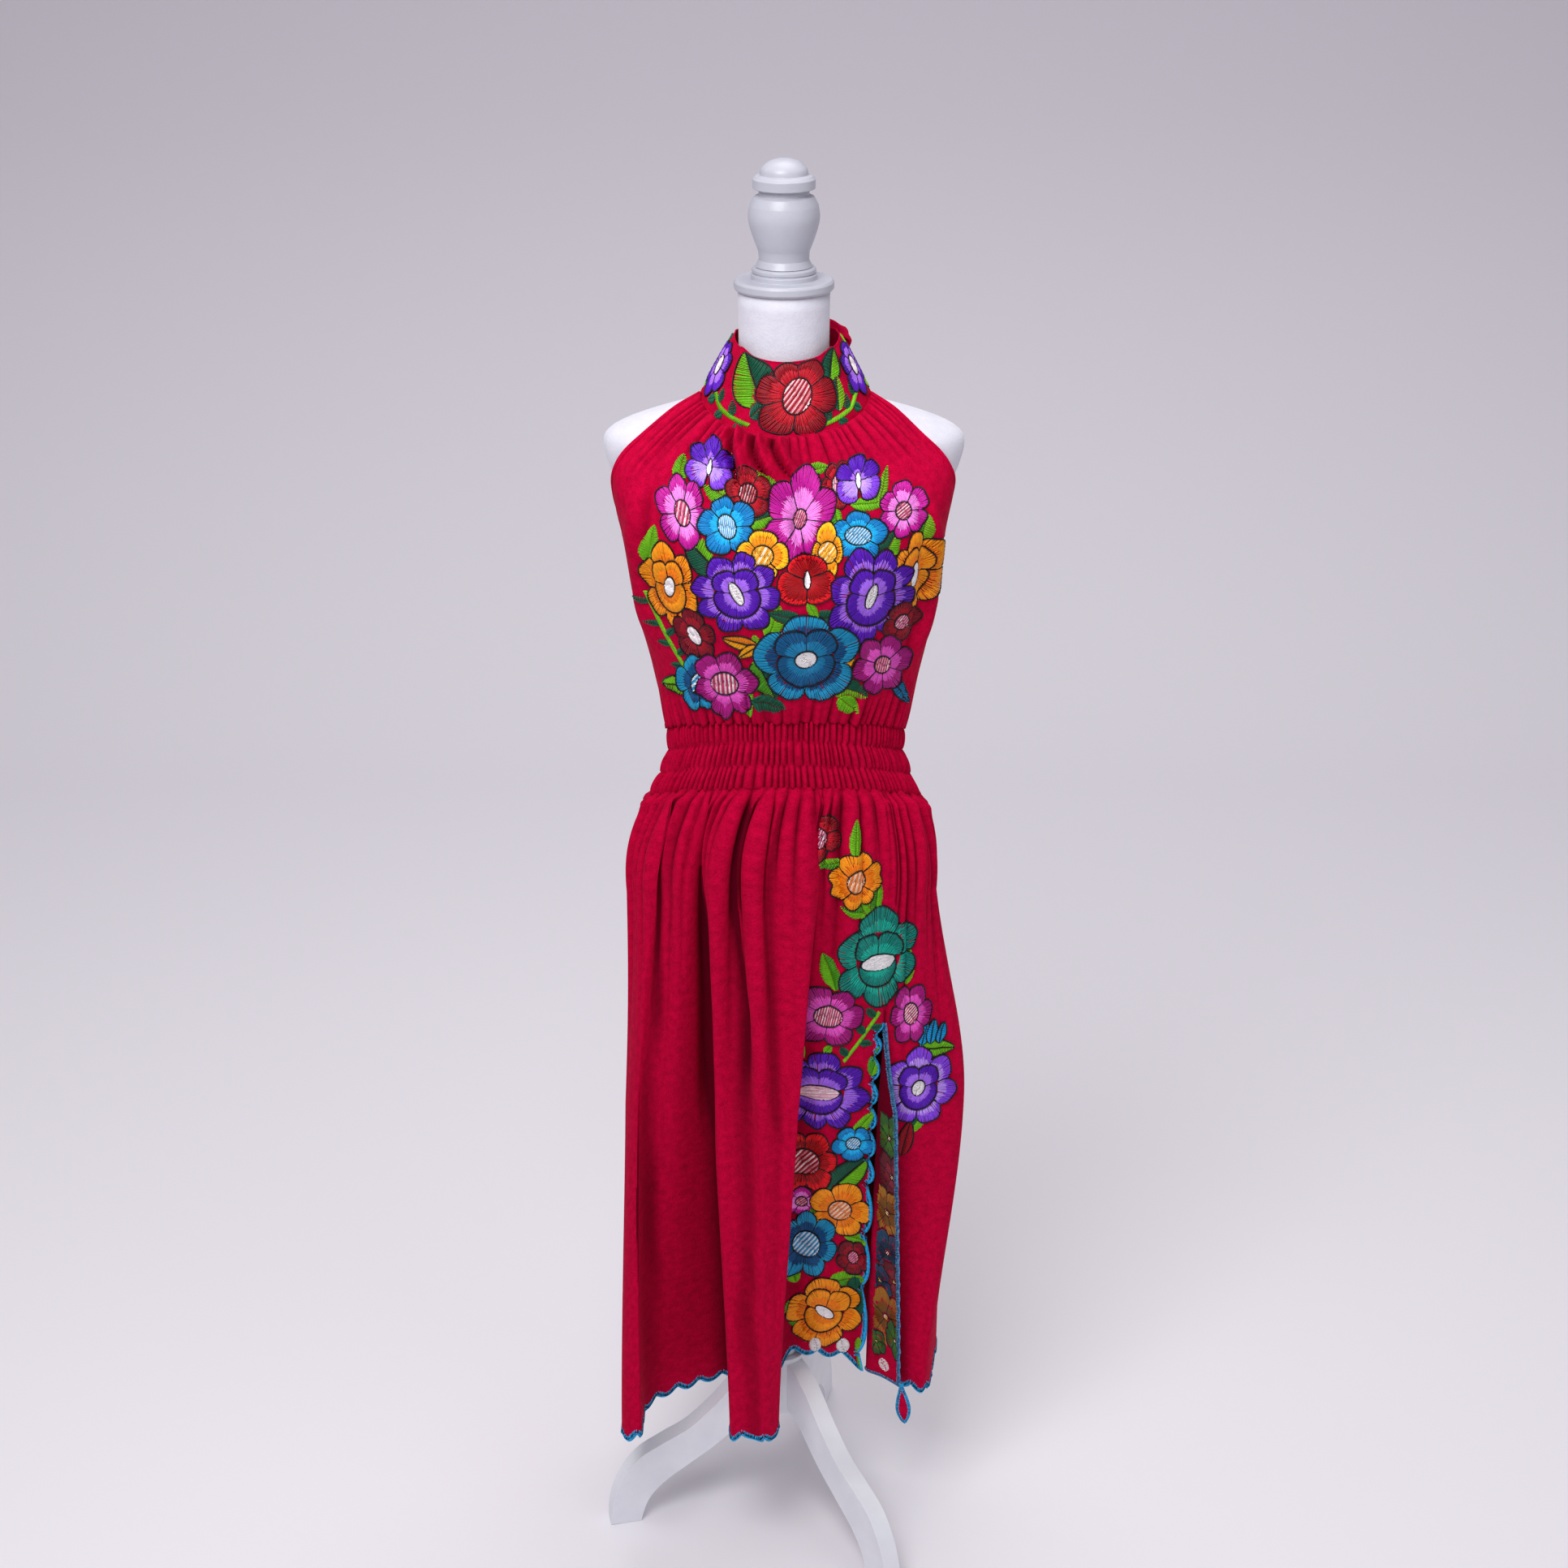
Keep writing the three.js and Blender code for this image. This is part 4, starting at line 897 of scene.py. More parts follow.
def straight_down(runs, even, side):
    """Angles on the waist above each column's place at the hip, in order all round. side is -1
    for the front and 1 for the back, and even is how far round each column is."""
    x, y = (
        np.concatenate([smooth(folds[name], position) for folds, position in runs])
        for name in ("hip_x", "hip_y")
    )
    half = np.where(x < 0, BAND["left"][-1], BAND["right"][-1])
    depth = BAND["front" if side < 0 else "back"][-1]
    angle = np.arctan2(x / half, np.maximum(side * y, 0.002) / depth)
    rising = np.maximum.accumulate(angle if side < 0 else math.pi - angle)
    share = (rising - rising[0]) / (rising[-1] - rising[0])
    share = STRAIGHT_SHARE * share + (1 - STRAIGHT_SHARE) * even
    return side * QUARTER + 2 * QUARTER * share


SCALLOPS_START = 0.955  # the hem's scallops begin at this share of the way down


def skirt_grid(folds, position, level, angle, length):
    """Points of the skirt. position, angle and length have one value to a column, or to a point;
    level has one to a row."""
    level = level[:, None]
    position = np.broadcast_to(position, (len(level), np.shape(position)[-1]))
    at = {name: smooth(column, position) for name, column in folds.items()}
    waist = {name: column[-1:].repeat(2) for name, column in BAND.items()}
    top = ring(waist, 0, angle) - [0, 0, 0.0003]
    scallop = SCALLOP_DEPTH * np.abs(np.sin(math.pi * length / SCALLOP))
    deep = ease((level - SCALLOPS_START) / (1 - SCALLOPS_START))
    hem = HEM_HEIGHT + at["rise"] + SCALLOP_DEPTH / 2 * deep - scallop * deep
    below = np.maximum(level, HIP_SHARE)
    plan = []
    for axis in ("x", "y"):
        hip, middle, low = at["hip_" + axis], at["middle_" + axis], at["hem_" + axis]
        to_middle = (below - HIP_SHARE) / (MIDDLE_SHARE - HIP_SHARE)
        to_hem = (below - MIDDLE_SHARE) / (1 - MIDDLE_SHARE)
        upper = spline(2 * hip - middle, hip, middle, low, to_middle)
        lower = spline(hip, middle, low, low, to_hem)
        plan.append(np.where(below < MIDDLE_SHARE, upper, lower))
    out = np.where(level < HIP_SHARE, 1 - (1 - np.minimum(level / HIP_SHARE, 1)) ** 2.4, 1.0)
    x, y = (top[..., k] + (plan[k] - top[..., k]) * out for k in (0, 1))
    return grid_of(x, y, top[..., 2] + (hem - top[..., 2]) * level)


# %% [markdown]
# The front panel is one grid in three runs: from the left seam to the slit's left edge, over the
# turned-back strip, and on to the right seam. Above the slit the strip has no width and its columns
# are merged; below, the cells between the left edge and the strip are left open. Gathers from the
# shirring run into the folds, each with its own length, and listed folds follow the main
# lines that show in the real skirt.

# %% Skirt front
LEFT_COLUMNS, STRIP_COLUMNS, RIGHT_COLUMNS, SKIRT_ROWS = 236, 12, 76, 136
front_table, strip_table, right_table = map(folds_table, (FRONT_FOLDS, LAPEL_FOLDS, RIGHT_FOLDS))
# Rows lie closer at the waist seam, and one falls on the slit's top.
level = np.interp(np.linspace(0, 1, SKIRT_ROWS + 1), [0, 0.08, 0.34, 1], [0, 0.045, 0.345, 1])
left_positions = evenly(front_table, LEFT_COLUMNS)
right_positions = evenly(right_table, RIGHT_COLUMNS)
left_length, left_total = fold_length(front_table, "hem", left_positions)
right_length, right_total = fold_length(right_table, "hem", right_positions)
front_total = left_total + right_total
slit_open = ease((level - SLIT_SHARE) / 0.03)
opened = np.clip((level - SLIT_SHARE) / LAPEL_TURN, 0, 1)[:, None, None]

EDGE_BITE = 0.55  # depth of the slit's scallops, as a share of the last fold's width
# Where the slit's edge comes to a point between two scallops, down from the slit's top.
SLIT_NIPS = [0, 0.027, 0.058, 0.093, 0.128, 0.163, 0.204, 0.244, 0.322, 0.405, 0.512, 0.620]
SKIRT_LENGTH, STRIP_BITE, STRIP_SCALLOP = 0.80, 0.10, 0.021
skirt_drop = SKIRT_LENGTH * level
lobe = np.interp(skirt_drop - SKIRT_LENGTH * SLIT_SHARE, SLIT_NIPS, range(len(SLIT_NIPS)))
bite = EDGE_BITE * (1 - np.sqrt(np.sin(math.pi * lobe) ** 2 + 0.02)) * slit_open
near_edge = ease((left_positions - 14.35) / 0.65)[None, :]
left_grid_at = left_positions[None, :] - bite[:, None] * near_edge
front_positions = [(front_table, left_positions), (right_table, right_positions)]
front_lengths = np.concatenate([left_length, left_total + right_length])
front_angle = straight_down(front_positions, front_lengths / front_total, -1)
left_angle, right_angle = front_angle[: LEFT_COLUMNS + 1], front_angle[LEFT_COLUMNS + 1 :]
left_base = skirt_grid(front_table, left_grid_at, level, left_angle, left_length)
right_base = skirt_grid(right_table, right_positions, level, right_angle, left_total + right_length)
strip_positions = np.linspace(0, 3, STRIP_COLUMNS + 1)
strip_bite = STRIP_BITE * np.abs(np.cos(math.pi * skirt_drop / STRIP_SCALLOP + 0.6)) * slit_open
strip_at = strip_positions + strip_bite[:, None] * ease(1 - strip_positions / 0.6)
strip_turned = skirt_grid(strip_table, strip_at, level, left_angle[-1], left_total)
closed_line = right_base[:, :1]
strip_base = closed_line + (strip_turned - closed_line) * opened
beside_slit = ease(1 - right_positions / 0.5)[:, None]
right_base = right_base + (strip_base[:, -1:] - closed_line) * beside_slit


def skirt_gathers(share, down, count, seed):
    side = (2 * share - 1) ** 2
    fine = gathers(share, down, count, (0.0080, 0.0150), (0.06, 0.22), 0.62, seed)
    broad = gathers(share, down, count // 3, (0.0050, 0.0120), (0.18, 0.45), 0.65, seed + 1)
    rising = 0.30 + 0.70 * ease(down / 0.018)
    at_seam = ease(np.minimum(share, 1 - share) / 0.030)  # the side seams lie flat and meet
    sunk = (0.0030 + 0.0035 * side) * ease(down / 0.03)
    return (fine + broad) * (1 - 0.45 * side) * rising * at_seam - sunk


left_share, right_share = (angle / QUARTER / 2 + 0.5 for angle in (left_angle, right_angle))
left_height = skirt_gathers(left_share, down_columns(left_base), 38, 51)
right_height = skirt_gathers(right_share, down_columns(right_base), 38, 51)
SKIRT_FOLDS = [
    # path from top to bottom, height, width, lean
    ([(-0.112, 0.960), (-0.128, 0.900), (-0.136, 0.800), (-0.140, 0.640)], -0.0060, 0.0065, 0.2),
    ([(-0.078, 0.940), (-0.086, 0.890), (-0.083, 0.740), (-0.084, 0.520)], -0.0070, 0.0070, -0.3),
    ([(-0.046, 0.940), (-0.052, 0.860), (-0.040, 0.740), (-0.044, 0.600)], -0.0060, 0.0065, 0.3),
    ([(-0.030, 0.860), (-0.026, 0.760), (-0.022, 0.640), (-0.006, 0.520)], 0.0050, 0.0085, -0.5),
    ([(-0.148, 0.560), (-0.150, 0.420), (-0.140, 0.300)], -0.0040, 0.0090, 0.4),
    ([(-0.066, 0.420), (-0.050, 0.340), (-0.052, 0.250)], -0.0030, 0.0100, 0.5),
    ([(-0.030, 0.470), (-0.024, 0.390), (-0.034, 0.300)], 0.0030, 0.0080, -0.6),
]
left_height = left_height + folds_over(left_base, SKIRT_FOLDS)
# The embroidered edges of the slit hang flat.
low_down = ease((level[:, None] - 0.2) / 0.1)
left_height = left_height * (1 - 0.7 * ease((left_positions - 14.2) / 0.8) * low_down)
right_height = right_height * (1 - 0.8 * ease(1 - right_positions / 0.8) * low_down)
left_grid, right_grid = raised(left_base, left_height), raised(right_base, right_height)
left_grid[0], right_grid[0] = tucked_under(left_grid), tucked_under(right_grid)
seam_mean = (left_grid[:, -1:] + right_grid[:, :1]) / 2
shut = (1 - slit_open)[:, None, None]
left_grid[:, -1:] += (seam_mean - left_grid[:, -1:]) * shut
right_grid[:, :1] += (seam_mean - right_grid[:, :1]) * shut
strip_grid = strip_base + (right_grid[:, :1] - strip_base[:, -1:])
shut_rows = int(np.argmax(level > SLIT_SHARE))
front_grid = np.concatenate([left_grid, strip_grid[:, :-1], right_grid], axis=1)


def skirt_front_mesh():
    rows, columns = front_grid.shape[:2]
    faces = grid_faces(rows, columns).reshape(rows - 1, columns - 1, 4)
    keep = np.ones((rows - 1, columns - 1), bool)
    keep[shut_rows:, LEFT_COLUMNS] = False
    points = placed(front_grid)
    above = slice(0, shut_rows + 1)
    merged = slice(LEFT_COLUMNS + 1, LEFT_COLUMNS + 2 + STRIP_COLUMNS)
    points[above, merged] = points[above, LEFT_COLUMNS : LEFT_COLUMNS + 1]
    flat_map = cloth_map_of(front_grid).reshape(-1, 2)
    made = mesh_object("slit_skirt_front", points.reshape(-1, 3), faces[keep], red_cotton, flat_map)
    # The turned-back strip gets full painted shade in its upper part, inside the slit, fading out lower
    # down.
    strip_fold_shade = np.repeat(1 - ease((level[:, None] - 0.60) / 0.14), STRIP_COLUMNS, axis=1)
    deep = [fold_shade_amount(left_grid), strip_fold_shade, fold_shade_amount(right_grid)]
    paint_fold_shade(made, np.concatenate(deep, axis=1))
    cleaned(made, "merge", "slivers")
    shade_smooth(made)
    give_thickness(made)
    return counted(made)


skirt_front = skirt_front_mesh()

# %% [markdown]
# The back of the skirt is the same cloth without slit or embroidery, in seven long folds.

# %% Skirt back
BACK_SKIRT_COLUMNS, BACK_SKIRT_ROWS = 180, 76
SEAM_COLUMNS = 9  # the back's last columns bend over to the front's edge
back_folds = folds_table(BACK_FOLDS)
shared_rows = np.round(np.linspace(0, SKIRT_ROWS, BACK_SKIRT_ROWS + 1)).astype(int)
back_positions = evenly(back_folds, BACK_SKIRT_COLUMNS)
back_length, back_total = fold_length(back_folds, "hem", back_positions)
back_angle = straight_down([(back_folds, back_positions)], back_length / back_total, 1)
back_skirt_base = skirt_grid(back_folds, back_positions, level[shared_rows], back_angle, back_length)
back_skirt_height = skirt_gathers(back_angle / QUARTER / 2 - 0.5, down_columns(back_skirt_base), 36, 61)
back_skirt_grid = raised(back_skirt_base, back_skirt_height)
back_skirt_grid[0] = tucked_under(back_skirt_grid)
column = np.arange(BACK_SKIRT_COLUMNS + 1)
seams = ((0, right_grid[shared_rows, -1]), (BACK_SKIRT_COLUMNS, left_grid[shared_rows, 0]))
for edge, sewn_to in seams:
    apart = sewn_to - back_skirt_grid[:, edge]
    near = ease(1 - np.abs(column - edge) / SEAM_COLUMNS)
    back_skirt_grid += apart[:, None] * near[:, None]
skirt_back = panel("gathered_skirt_back", back_skirt_grid, red_cotton)

# %% [markdown]
# The collar is a standing band that leans in to the neck. It is stiff with embroidery, so it bends
# in flat facets: a sharp upright crease stands at each side of the front. It is open at centre
# back, under the bow.

# %% Collar
COLLAR = table(
    "left right front back side_y z_front z_side z_back",
    [
        (0.0500, 0.0560, 0.0560, 0.0540, 0, 1.4310, 1.4460, 1.4460),
        (0.0590, 0.0640, 0.0610, 0.0570, 0, 1.4130, 1.4320, 1.4320),
        (0.0720, 0.0760, 0.0695, 0.0600, 0, 1.3880, 1.4090, 1.4130),
        (0.0835, 0.0870, 0.0780, 0.0660, 0, 1.3630, 1.3870, 1.3960),
    ],
)
COLLAR_OPENING = 0.05  # half the angle of the gap at centre back
COLLAR_GRID_ROWS, COLLAR_GRID_COLUMNS = 30, 220
FACET_CREASES = [(-0.90, 0.0030), (0.90, 0.0034), (-1.9, 0.0016), (2.0, 0.0018)]  # angle, height
FACET_WIDTH = 0.10

collar_half = math.pi - COLLAR_OPENING
collar_angle = np.linspace(-collar_half, collar_half, COLLAR_GRID_COLUMNS + 1)[None, :]
collar_row = steps(3, COLLAR_GRID_ROWS)
upper = 1 - collar_row / 3
collar_height = 0
for angle, height in FACET_CREASES:
    crease = np.exp(-(((collar_angle - angle) / FACET_WIDTH) ** 2))
    collar_height = collar_height + height * crease * (0.35 + 0.65 * upper)
collar_height = collar_height - 0.0014 * np.exp(-((collar_angle / 0.5) ** 2)) * upper
collar_base = ring(COLLAR, collar_row, collar_angle)
collar_grid = raised(collar_base, collar_height * ease((3 - collar_row) / 0.25))
peaks = np.exp(-(((np.abs(collar_angle) - 0.9) / 0.14) ** 2))
collar_grid[..., 2] += 0.0035 * upper**2 * peaks
collar = panel("standing_collar", collar_grid, red_cotton)


# %% [markdown]
# The embroidery is satin stitch: strands of floss laid side by side across each petal, long and
# short, from its edge inwards, with black stem stitch round every shape. It is charted on
# the flat of each panel, x across and z up, in metres, as an embroiderer marks cloth. First comes
# the way from a place on the chart to a place on the folded cloth.

# %% From the chart to the cloth
CHART_STEP = 0.0015  # the chart is looked up in squares of this size


def chart_area(base, grid, columns, facing_front=True):
    """Finds the row and column of a chart place on a panel. base is the panel before its gathers
    and grid the panel itself; columns is the run of columns that the chart covers."""
    x, z = base[:, columns, 0], base[:, columns, 2]
    numbers = np.arange(base.shape[1])[columns].astype(float)
    if x[0, 0] > x[0, -1] or x[-1, 0] > x[-1, -1]:
        x, z, numbers = x[:, ::-1], z[:, ::-1], numbers[::-1]
    xs, zs = (np.arange(values.min(), values.max(), CHART_STEP) for values in (x, z))
    empty = dict(left=np.nan, right=np.nan)
    column_at = np.array([np.interp(xs, row, numbers, **empty) for row in x])
    height_at = np.array([np.interp(xs, row, heights, **empty) for row, heights in zip(x, z)])
    rows = np.full((len(zs), len(xs)), np.nan)
    found = rows.copy()
    for i in range(len(xs)):
        real = np.flatnonzero(~np.isnan(height_at[:, i]))
        if len(real) < 3:
            continue
        rows[:, i] = np.interp(zs, height_at[real[::-1], i], real[::-1].astype(float), **empty)
        found[:, i] = np.interp(rows[:, i], real, column_at[real, i])

    def index(places):
        outside = np.zeros(len(places), bool)
        cells = []
        for values, line in ((places[:, 0], xs), (places[:, 1], zs)):
            outside |= (values < line[0]) | (values > line[-1])
            cells.append(np.clip((values - line[0]) / CHART_STEP, 0, len(line) - 1.001))
        row, column = (between(known, cells[1], cells[0]) for known in (rows, found))
        return np.where(outside, np.nan, row), np.where(outside, np.nan, column)

    up = grid_normals(grid)
    return {"index": index, "grid": grid, "up": up if facing_front else -up}


def between(values, row, column):
    """Values of a grid at fractional rows and columns."""
    j = np.clip(np.floor(row).astype(int), 0, values.shape[0] - 2)
    i = np.clip(np.floor(column).astype(int), 0, values.shape[1] - 2)
    t, s = row - j, column - i
    if values.ndim == 3:
        t, s = t[:, None], s[:, None]
    upper = values[j, i] * (1 - s) + values[j, i + 1] * s
    lower = values[j + 1, i] * (1 - s) + values[j + 1, i + 1] * s
    return upper * (1 - t) + lower * t


def on_cloth(area, places):
    """Points and outward directions of chart places, and which of them lie on the panel."""
    row, column = area["index"](places)
    on = ~(np.isnan(row) | np.isnan(column))
    row, column = np.where(on, row, 0), np.where(on, column, 0)
    return between(area["grid"], row, column), unit(between(area["up"], row, column)), on


COLLAR_DEEP, COLLAR_RADIUS = 0.070, 0.068  # the band's height and its mean radius


def collar_index(places):
    column = (places[:, 0] / COLLAR_RADIUS + collar_half) / (2 * collar_half)
    row = -places[:, 1] / COLLAR_DEEP
    outside = (row < 0) | (row > 1) | (column < 0) | (column > 1)
    return (
        np.where(outside, np.nan, row * COLLAR_GRID_ROWS),
        np.where(outside, np.nan, column * COLLAR_GRID_COLUMNS),
    )


PANEL_START, FLAP_END = 11.05, 3.2  # positions along the front's folds where the embroidery ends
panel_start = int(np.searchsorted(left_positions, PANEL_START))
flap_end = int(np.searchsorted(right_positions, FLAP_END))
below_slit, above_slit = slice(shut_rows + 3, None), slice(0, shut_rows + 1)


def hip_columns(left, right):
    """The front of the skirt above the slit, in one grid."""
    return np.concatenate([left, right[:, 1:]], axis=1)[above_slit]


areas = {
    "bodice": chart_area(bodice_base, bodice_grid, slice(1, BODICE_COLUMNS)),
    "panel": chart_area(left_base, left_grid, slice(panel_start, LEFT_COLUMNS + 1)),
    "flap": chart_area(right_base, right_grid, slice(0, flap_end)),
    "hip": chart_area(
        hip_columns(left_base, right_base), hip_columns(left_grid, right_grid),
        slice(panel_start, LEFT_COLUMNS + flap_end),
    ),
    "collar": {"index": collar_index, "grid": collar_grid, "up": grid_normals(collar_grid)},
    "lapel": chart_area(
        strip_base[below_slit], strip_grid[below_slit], slice(0, STRIP_COLUMNS + 1), False
    ),
}
print("charted areas:", ", ".join(areas))

# %% [markdown]
# A flower is drawn in polar form about its eye: each petal is a sector with a rounded, slightly
# ruffled edge, filled by stitches that all point at the eye. The outer part is one colour and the
# inner part another, with long and short stitches between them. A leaf is a fishbone on a midrib
# and a stem is a row of short slanted stitches. Colours come in named pairs, outer then inner.

# %% Floss colours
FLOSS = {
    "magenta": ("#a80c7c", "#e455c4"), "bright magenta": ("#c4129c", "#f08ae2"),
    "purple": ("#5a12b4", "#ac70ec"), "lilac": ("#8a44dc", "#c39af4"),
    "azure": ("#0a86c8", "#1cb8ee"), "sea blue": ("#1a94c0", "#0a5288"),
    "deep blue": ("#0b5c8e", "#1a86b6"), "teal": ("#0b8478", "#12ac98"),
    "orange": ("#f49a12", "#f0840a"), "yellow": ("#f8c012", "#f49c10"),
    "burgundy": ("#7c0820", "#a00c26"), "dark red": ("#90081c", "#c01028"),
    "bright red": ("#e00a1c", "#b00814"), "lime": ("#7ac414", "#68b010"),
    "olive": ("#6a9c14", "#8cc41c"), "dark green": ("#0e5238", "#14604a"),
    "mid green": ("#3c8c18", "#5aa81c"), "back of orange": ("#9a6414", "#74460c"),
    "back of blue": ("#12405e", "#0c2a44"), "back of red": ("#5c1420", "#7a2030"),
    "back of green": ("#2c5a24", "#3c6a1c"),
}
OUTLINE_BLACK, EDGING_BLUE = "#0c0a10", "#1fb0ee"
SLIT_BLUE = "#4c8fc0"  # the turned-back edge, seen from its duller wrong side
EYES = {
    "white": ("#f2eef0", "#f2eef0", "#e8d8de"), "pink": ("#f4e4ea", "#e8a8c0", "#c0406c"),
    "red": ("#f2dde0", "#e08c98", "#a8182c"), "blue": ("#e6f0f6", "#e6f0f6", "#3aa0d2"),
    "peach": ("#f8dcc8", "#f2b890", "#e88a48"), "amber": ("#fbf2dc", "#f6cf60", "#f0a824"),
}
STRAND = 0.00090  # half the width of a laid strand
PITCH = 0.00123  # strands lie this far apart
OUTLINE = 0.00112  # half the width of the black stem stitch
LONG_AND_SHORT = 0.10  # how unevenly stitches end, as a share of the petal
FISHBONE_SLANT = 0.45  # how far a leaf's stitches slant towards its base, for its half width


# %% Petals, leaves and eyes as stitches
def stitch(start, end, colour, low=0.0002, high=0.0009, radius=STRAND):
    return dict(start=start, end=end, colour=colour, low=low, high=high, radius=radius)


class Motif:
    """Stitches, outlines and the outer edge of one shape, in chart places."""

    def __init__(self, area):
        self.area, self.stitches, self.outlines, self.edge = area, [], [], None

    def dyed(self, hex_colour, spread=0.09):
        return linear(hex_colour) * (1 + rng.uniform(-spread, spread))


def turned_flat(flat, turn):
    """Flat places, turned about the middle by an angle in degrees."""
    c, s = math.cos(math.radians(turn)), math.sin(math.radians(turn))
    return flat @ np.array([[c, s], [-s, c]])


def framed(flat, frame):
    """Places of a unit shape, scaled to its frame's size, turned and moved to its place."""
    at, size, turn = frame
    return turned_flat(np.asarray(flat, float) * np.array(size) / 2, turn) + np.array(at)


def polar(radius, angle):
    return np.stack([radius * np.cos(angle), radius * np.sin(angle)], -1)


def petal_edge(share, tip, ruffle, notch, phase):
    """Radius of a petal's outer edge, from one side (0) to the other (1)."""
    lobe = 0.70 + 0.30 * np.sin(math.pi * np.clip(share, 0, 1)) ** 0.5
    wave = ruffle * np.sin(9 * share + phase) * np.sin(math.pi * share)
    heart = notch * np.exp(-(((share - 0.5) / 0.13) ** 2))
    return tip * (lobe + wave - heart)


def round_eye(eye, eye_turn):
    """The eye's radius as a function of the angle."""

    def radius(angle):
        off = angle - math.radians(eye_turn)
        return 1 / np.sqrt((np.cos(off) / eye[0]) ** 2 + (np.sin(off) / eye[1]) ** 2)

    return radius


def mean_radius(frame):
    return sum(frame[1]) / 4


OUTER_WIDTH = 1.25  # how much wider the petals' outer strands lie


def sew_petal(motif, frame, sector, inner, tip, colours, split=0.55, ruffle=0.02, notch=0.0):
    """Fill a sector between two angles in degrees. inner gives its inner radius at an angle."""
    first, last = (math.radians(angle) for angle in sector)
    phase = rng.uniform(0, 6)

    def edge(angle):
        return petal_edge((angle - first) / (last - first), tip, ruffle, notch, phase)

    for zone, reach in (("inner", 0.66), ("outer", 1.0)):
        count = max(3, int((last - first) * tip * mean_radius(frame) * reach / PITCH))
        for angle in np.linspace(first, last, count + 2)[1:-1]:
            root, rim = float(inner(angle)), float(edge(angle))
            if rim - root < 0.05:
                continue
            middle = root + (rim - root) * (split + rng.uniform(-1, 1) * LONG_AND_SHORT)
            span = (root, middle + 0.03) if zone == "inner" else (middle - 0.03, rim)
            places = framed(polar(np.array(span), angle + rng.uniform(-0.02, 0.02)), frame)
            colour = motif.dyed(FLOSS[colours][1 if zone == "inner" else 0])
            wide = STRAND * (OUTER_WIDTH if zone == "outer" else 1)
            motif.stitches.append(stitch(*places, colour, radius=wide))
    angles = np.linspace(first, last, 26)
    rim = framed(polar(edge(angles), angles), frame)
    roots = [framed(polar(np.array([float(inner(a))]), a), frame) for a in (first, last)]
    motif.outlines.append(np.concatenate([roots[0], rim, roots[1]]))
    return rim


def sew_eye(motif, frame, eye, eye_turn, colours, stripe=2, grain=60):
    """Fill the eye with parallel strands, in stripes of the three colours."""
    c, s = math.cos(math.radians(grain)), math.sin(math.radians(grain))
    count = max(4, int(2 * max(eye) * mean_radius(frame) / PITCH))
    for n, off in enumerate(np.linspace(-0.97, 0.97, count)):
        half = math.sqrt(1 - off * off)
        middle, reach = np.array([-off * s, off * c]), np.array([half * c, half * s])
        ends = np.array([middle - reach, middle + reach]) * np.array(eye)
        start, end = framed(turned_flat(ends, eye_turn), frame)
        pick = colours[2] if stripe and (n // stripe) % 2 else colours[rng.integers(0, 2)]
        cut = start + (end - start) * rng.uniform(0.35, 0.65)
        for a, b in ((start, cut), (cut, end)):
            motif.stitches.append(stitch(a, b, motif.dyed(pick, 0.05), 0.0004, 0.0011))
    angles = np.linspace(0, FULL_TURN, 30)
    motif.outlines.append(framed(polar(round_eye(eye, eye_turn)(angles), angles), frame))


def sew_ring(motif, frame, petals, spread, tips, first, inner, *look):
    """A full ring of petals of uneven width and length."""
    shares = np.cumsum([0, *(1 + spread * rng.uniform(-1, 1, petals))])
    starts = first + shares / shares[-1] * 360
    rim = [
        sew_petal(motif, frame, sector, inner, 1 + rng.uniform(*tips), *look)
        for sector in zip(starts, starts[1:])
    ]
    motif.edge = np.concatenate(rim)


def flower(area, x, z, width, height, petals, colours, turn=0, eye=(0.3, 0.3), eye_turn=0,
           eye_colours="white", ruffle=0.02, notch=0.0, split=0.55, stripe=2, first=0):
    """A ring of petals round an eye."""
    motif = Motif(area)
    frame = ((x, z), (width, height), turn)
    look = (colours, split, ruffle, notch)
    sew_ring(motif, frame, petals, 0.16, (-0.07, 0.03), first, round_eye(eye, eye_turn), *look)
    sew_eye(motif, frame, eye, eye_turn, EYES[eye_colours], stripe, rng.uniform(30, 80))
    return motif


def rose(area, x, z, width, height, petals, colours, cup_colours, turn=0, eye=(0.22, 0.12),
         eye_turn=0, cup=(0.6, 0.56), eye_colours="white", ruffle=0.03, first=10, drop=0.0):
    """A ring of outer petals round a cup of a two-part upper hood and a lower lip."""
    motif, layer = Motif(area), Motif(area)
    frame = ((x, z), (width, height), turn)
    look = (colours, 0.5, ruffle)
    sew_ring(motif, frame, petals, 0.18, (-0.08, 0.03), first, lambda angle: 0.5, *look)
    frame = ((x, z - drop), (width, height), turn)
    parts = (
        ((12, 90), cup[0], 0.5, ruffle), ((90, 168), cup[0], 0.5, ruffle),
        ((168, 372), cup[1], 0.45, 0.01),
    )
    layer.edge = np.concatenate([
        sew_petal(layer, frame, sector, round_eye(eye, eye_turn), tip, cup_colours, split, wave)
        for sector, tip, split, wave in parts
    ])
    sew_eye(layer, frame, eye, eye_turn, EYES[eye_colours], 0, 10)
    return [motif, layer]


IRIS_EYE = (0.09, 0.34)
IRIS_PARTS = [
    # sector, tip, colours, split
    ((8, 62), 0.98, "purple", 0.25), ((62, 118), 1.0, "purple", 0.2),
    ((118, 172), 0.98, "purple", 0.25), ((172, 262), 1.0, "lilac", 0.72),
    ((278, 368), 0.94, "lilac", 0.6),
]


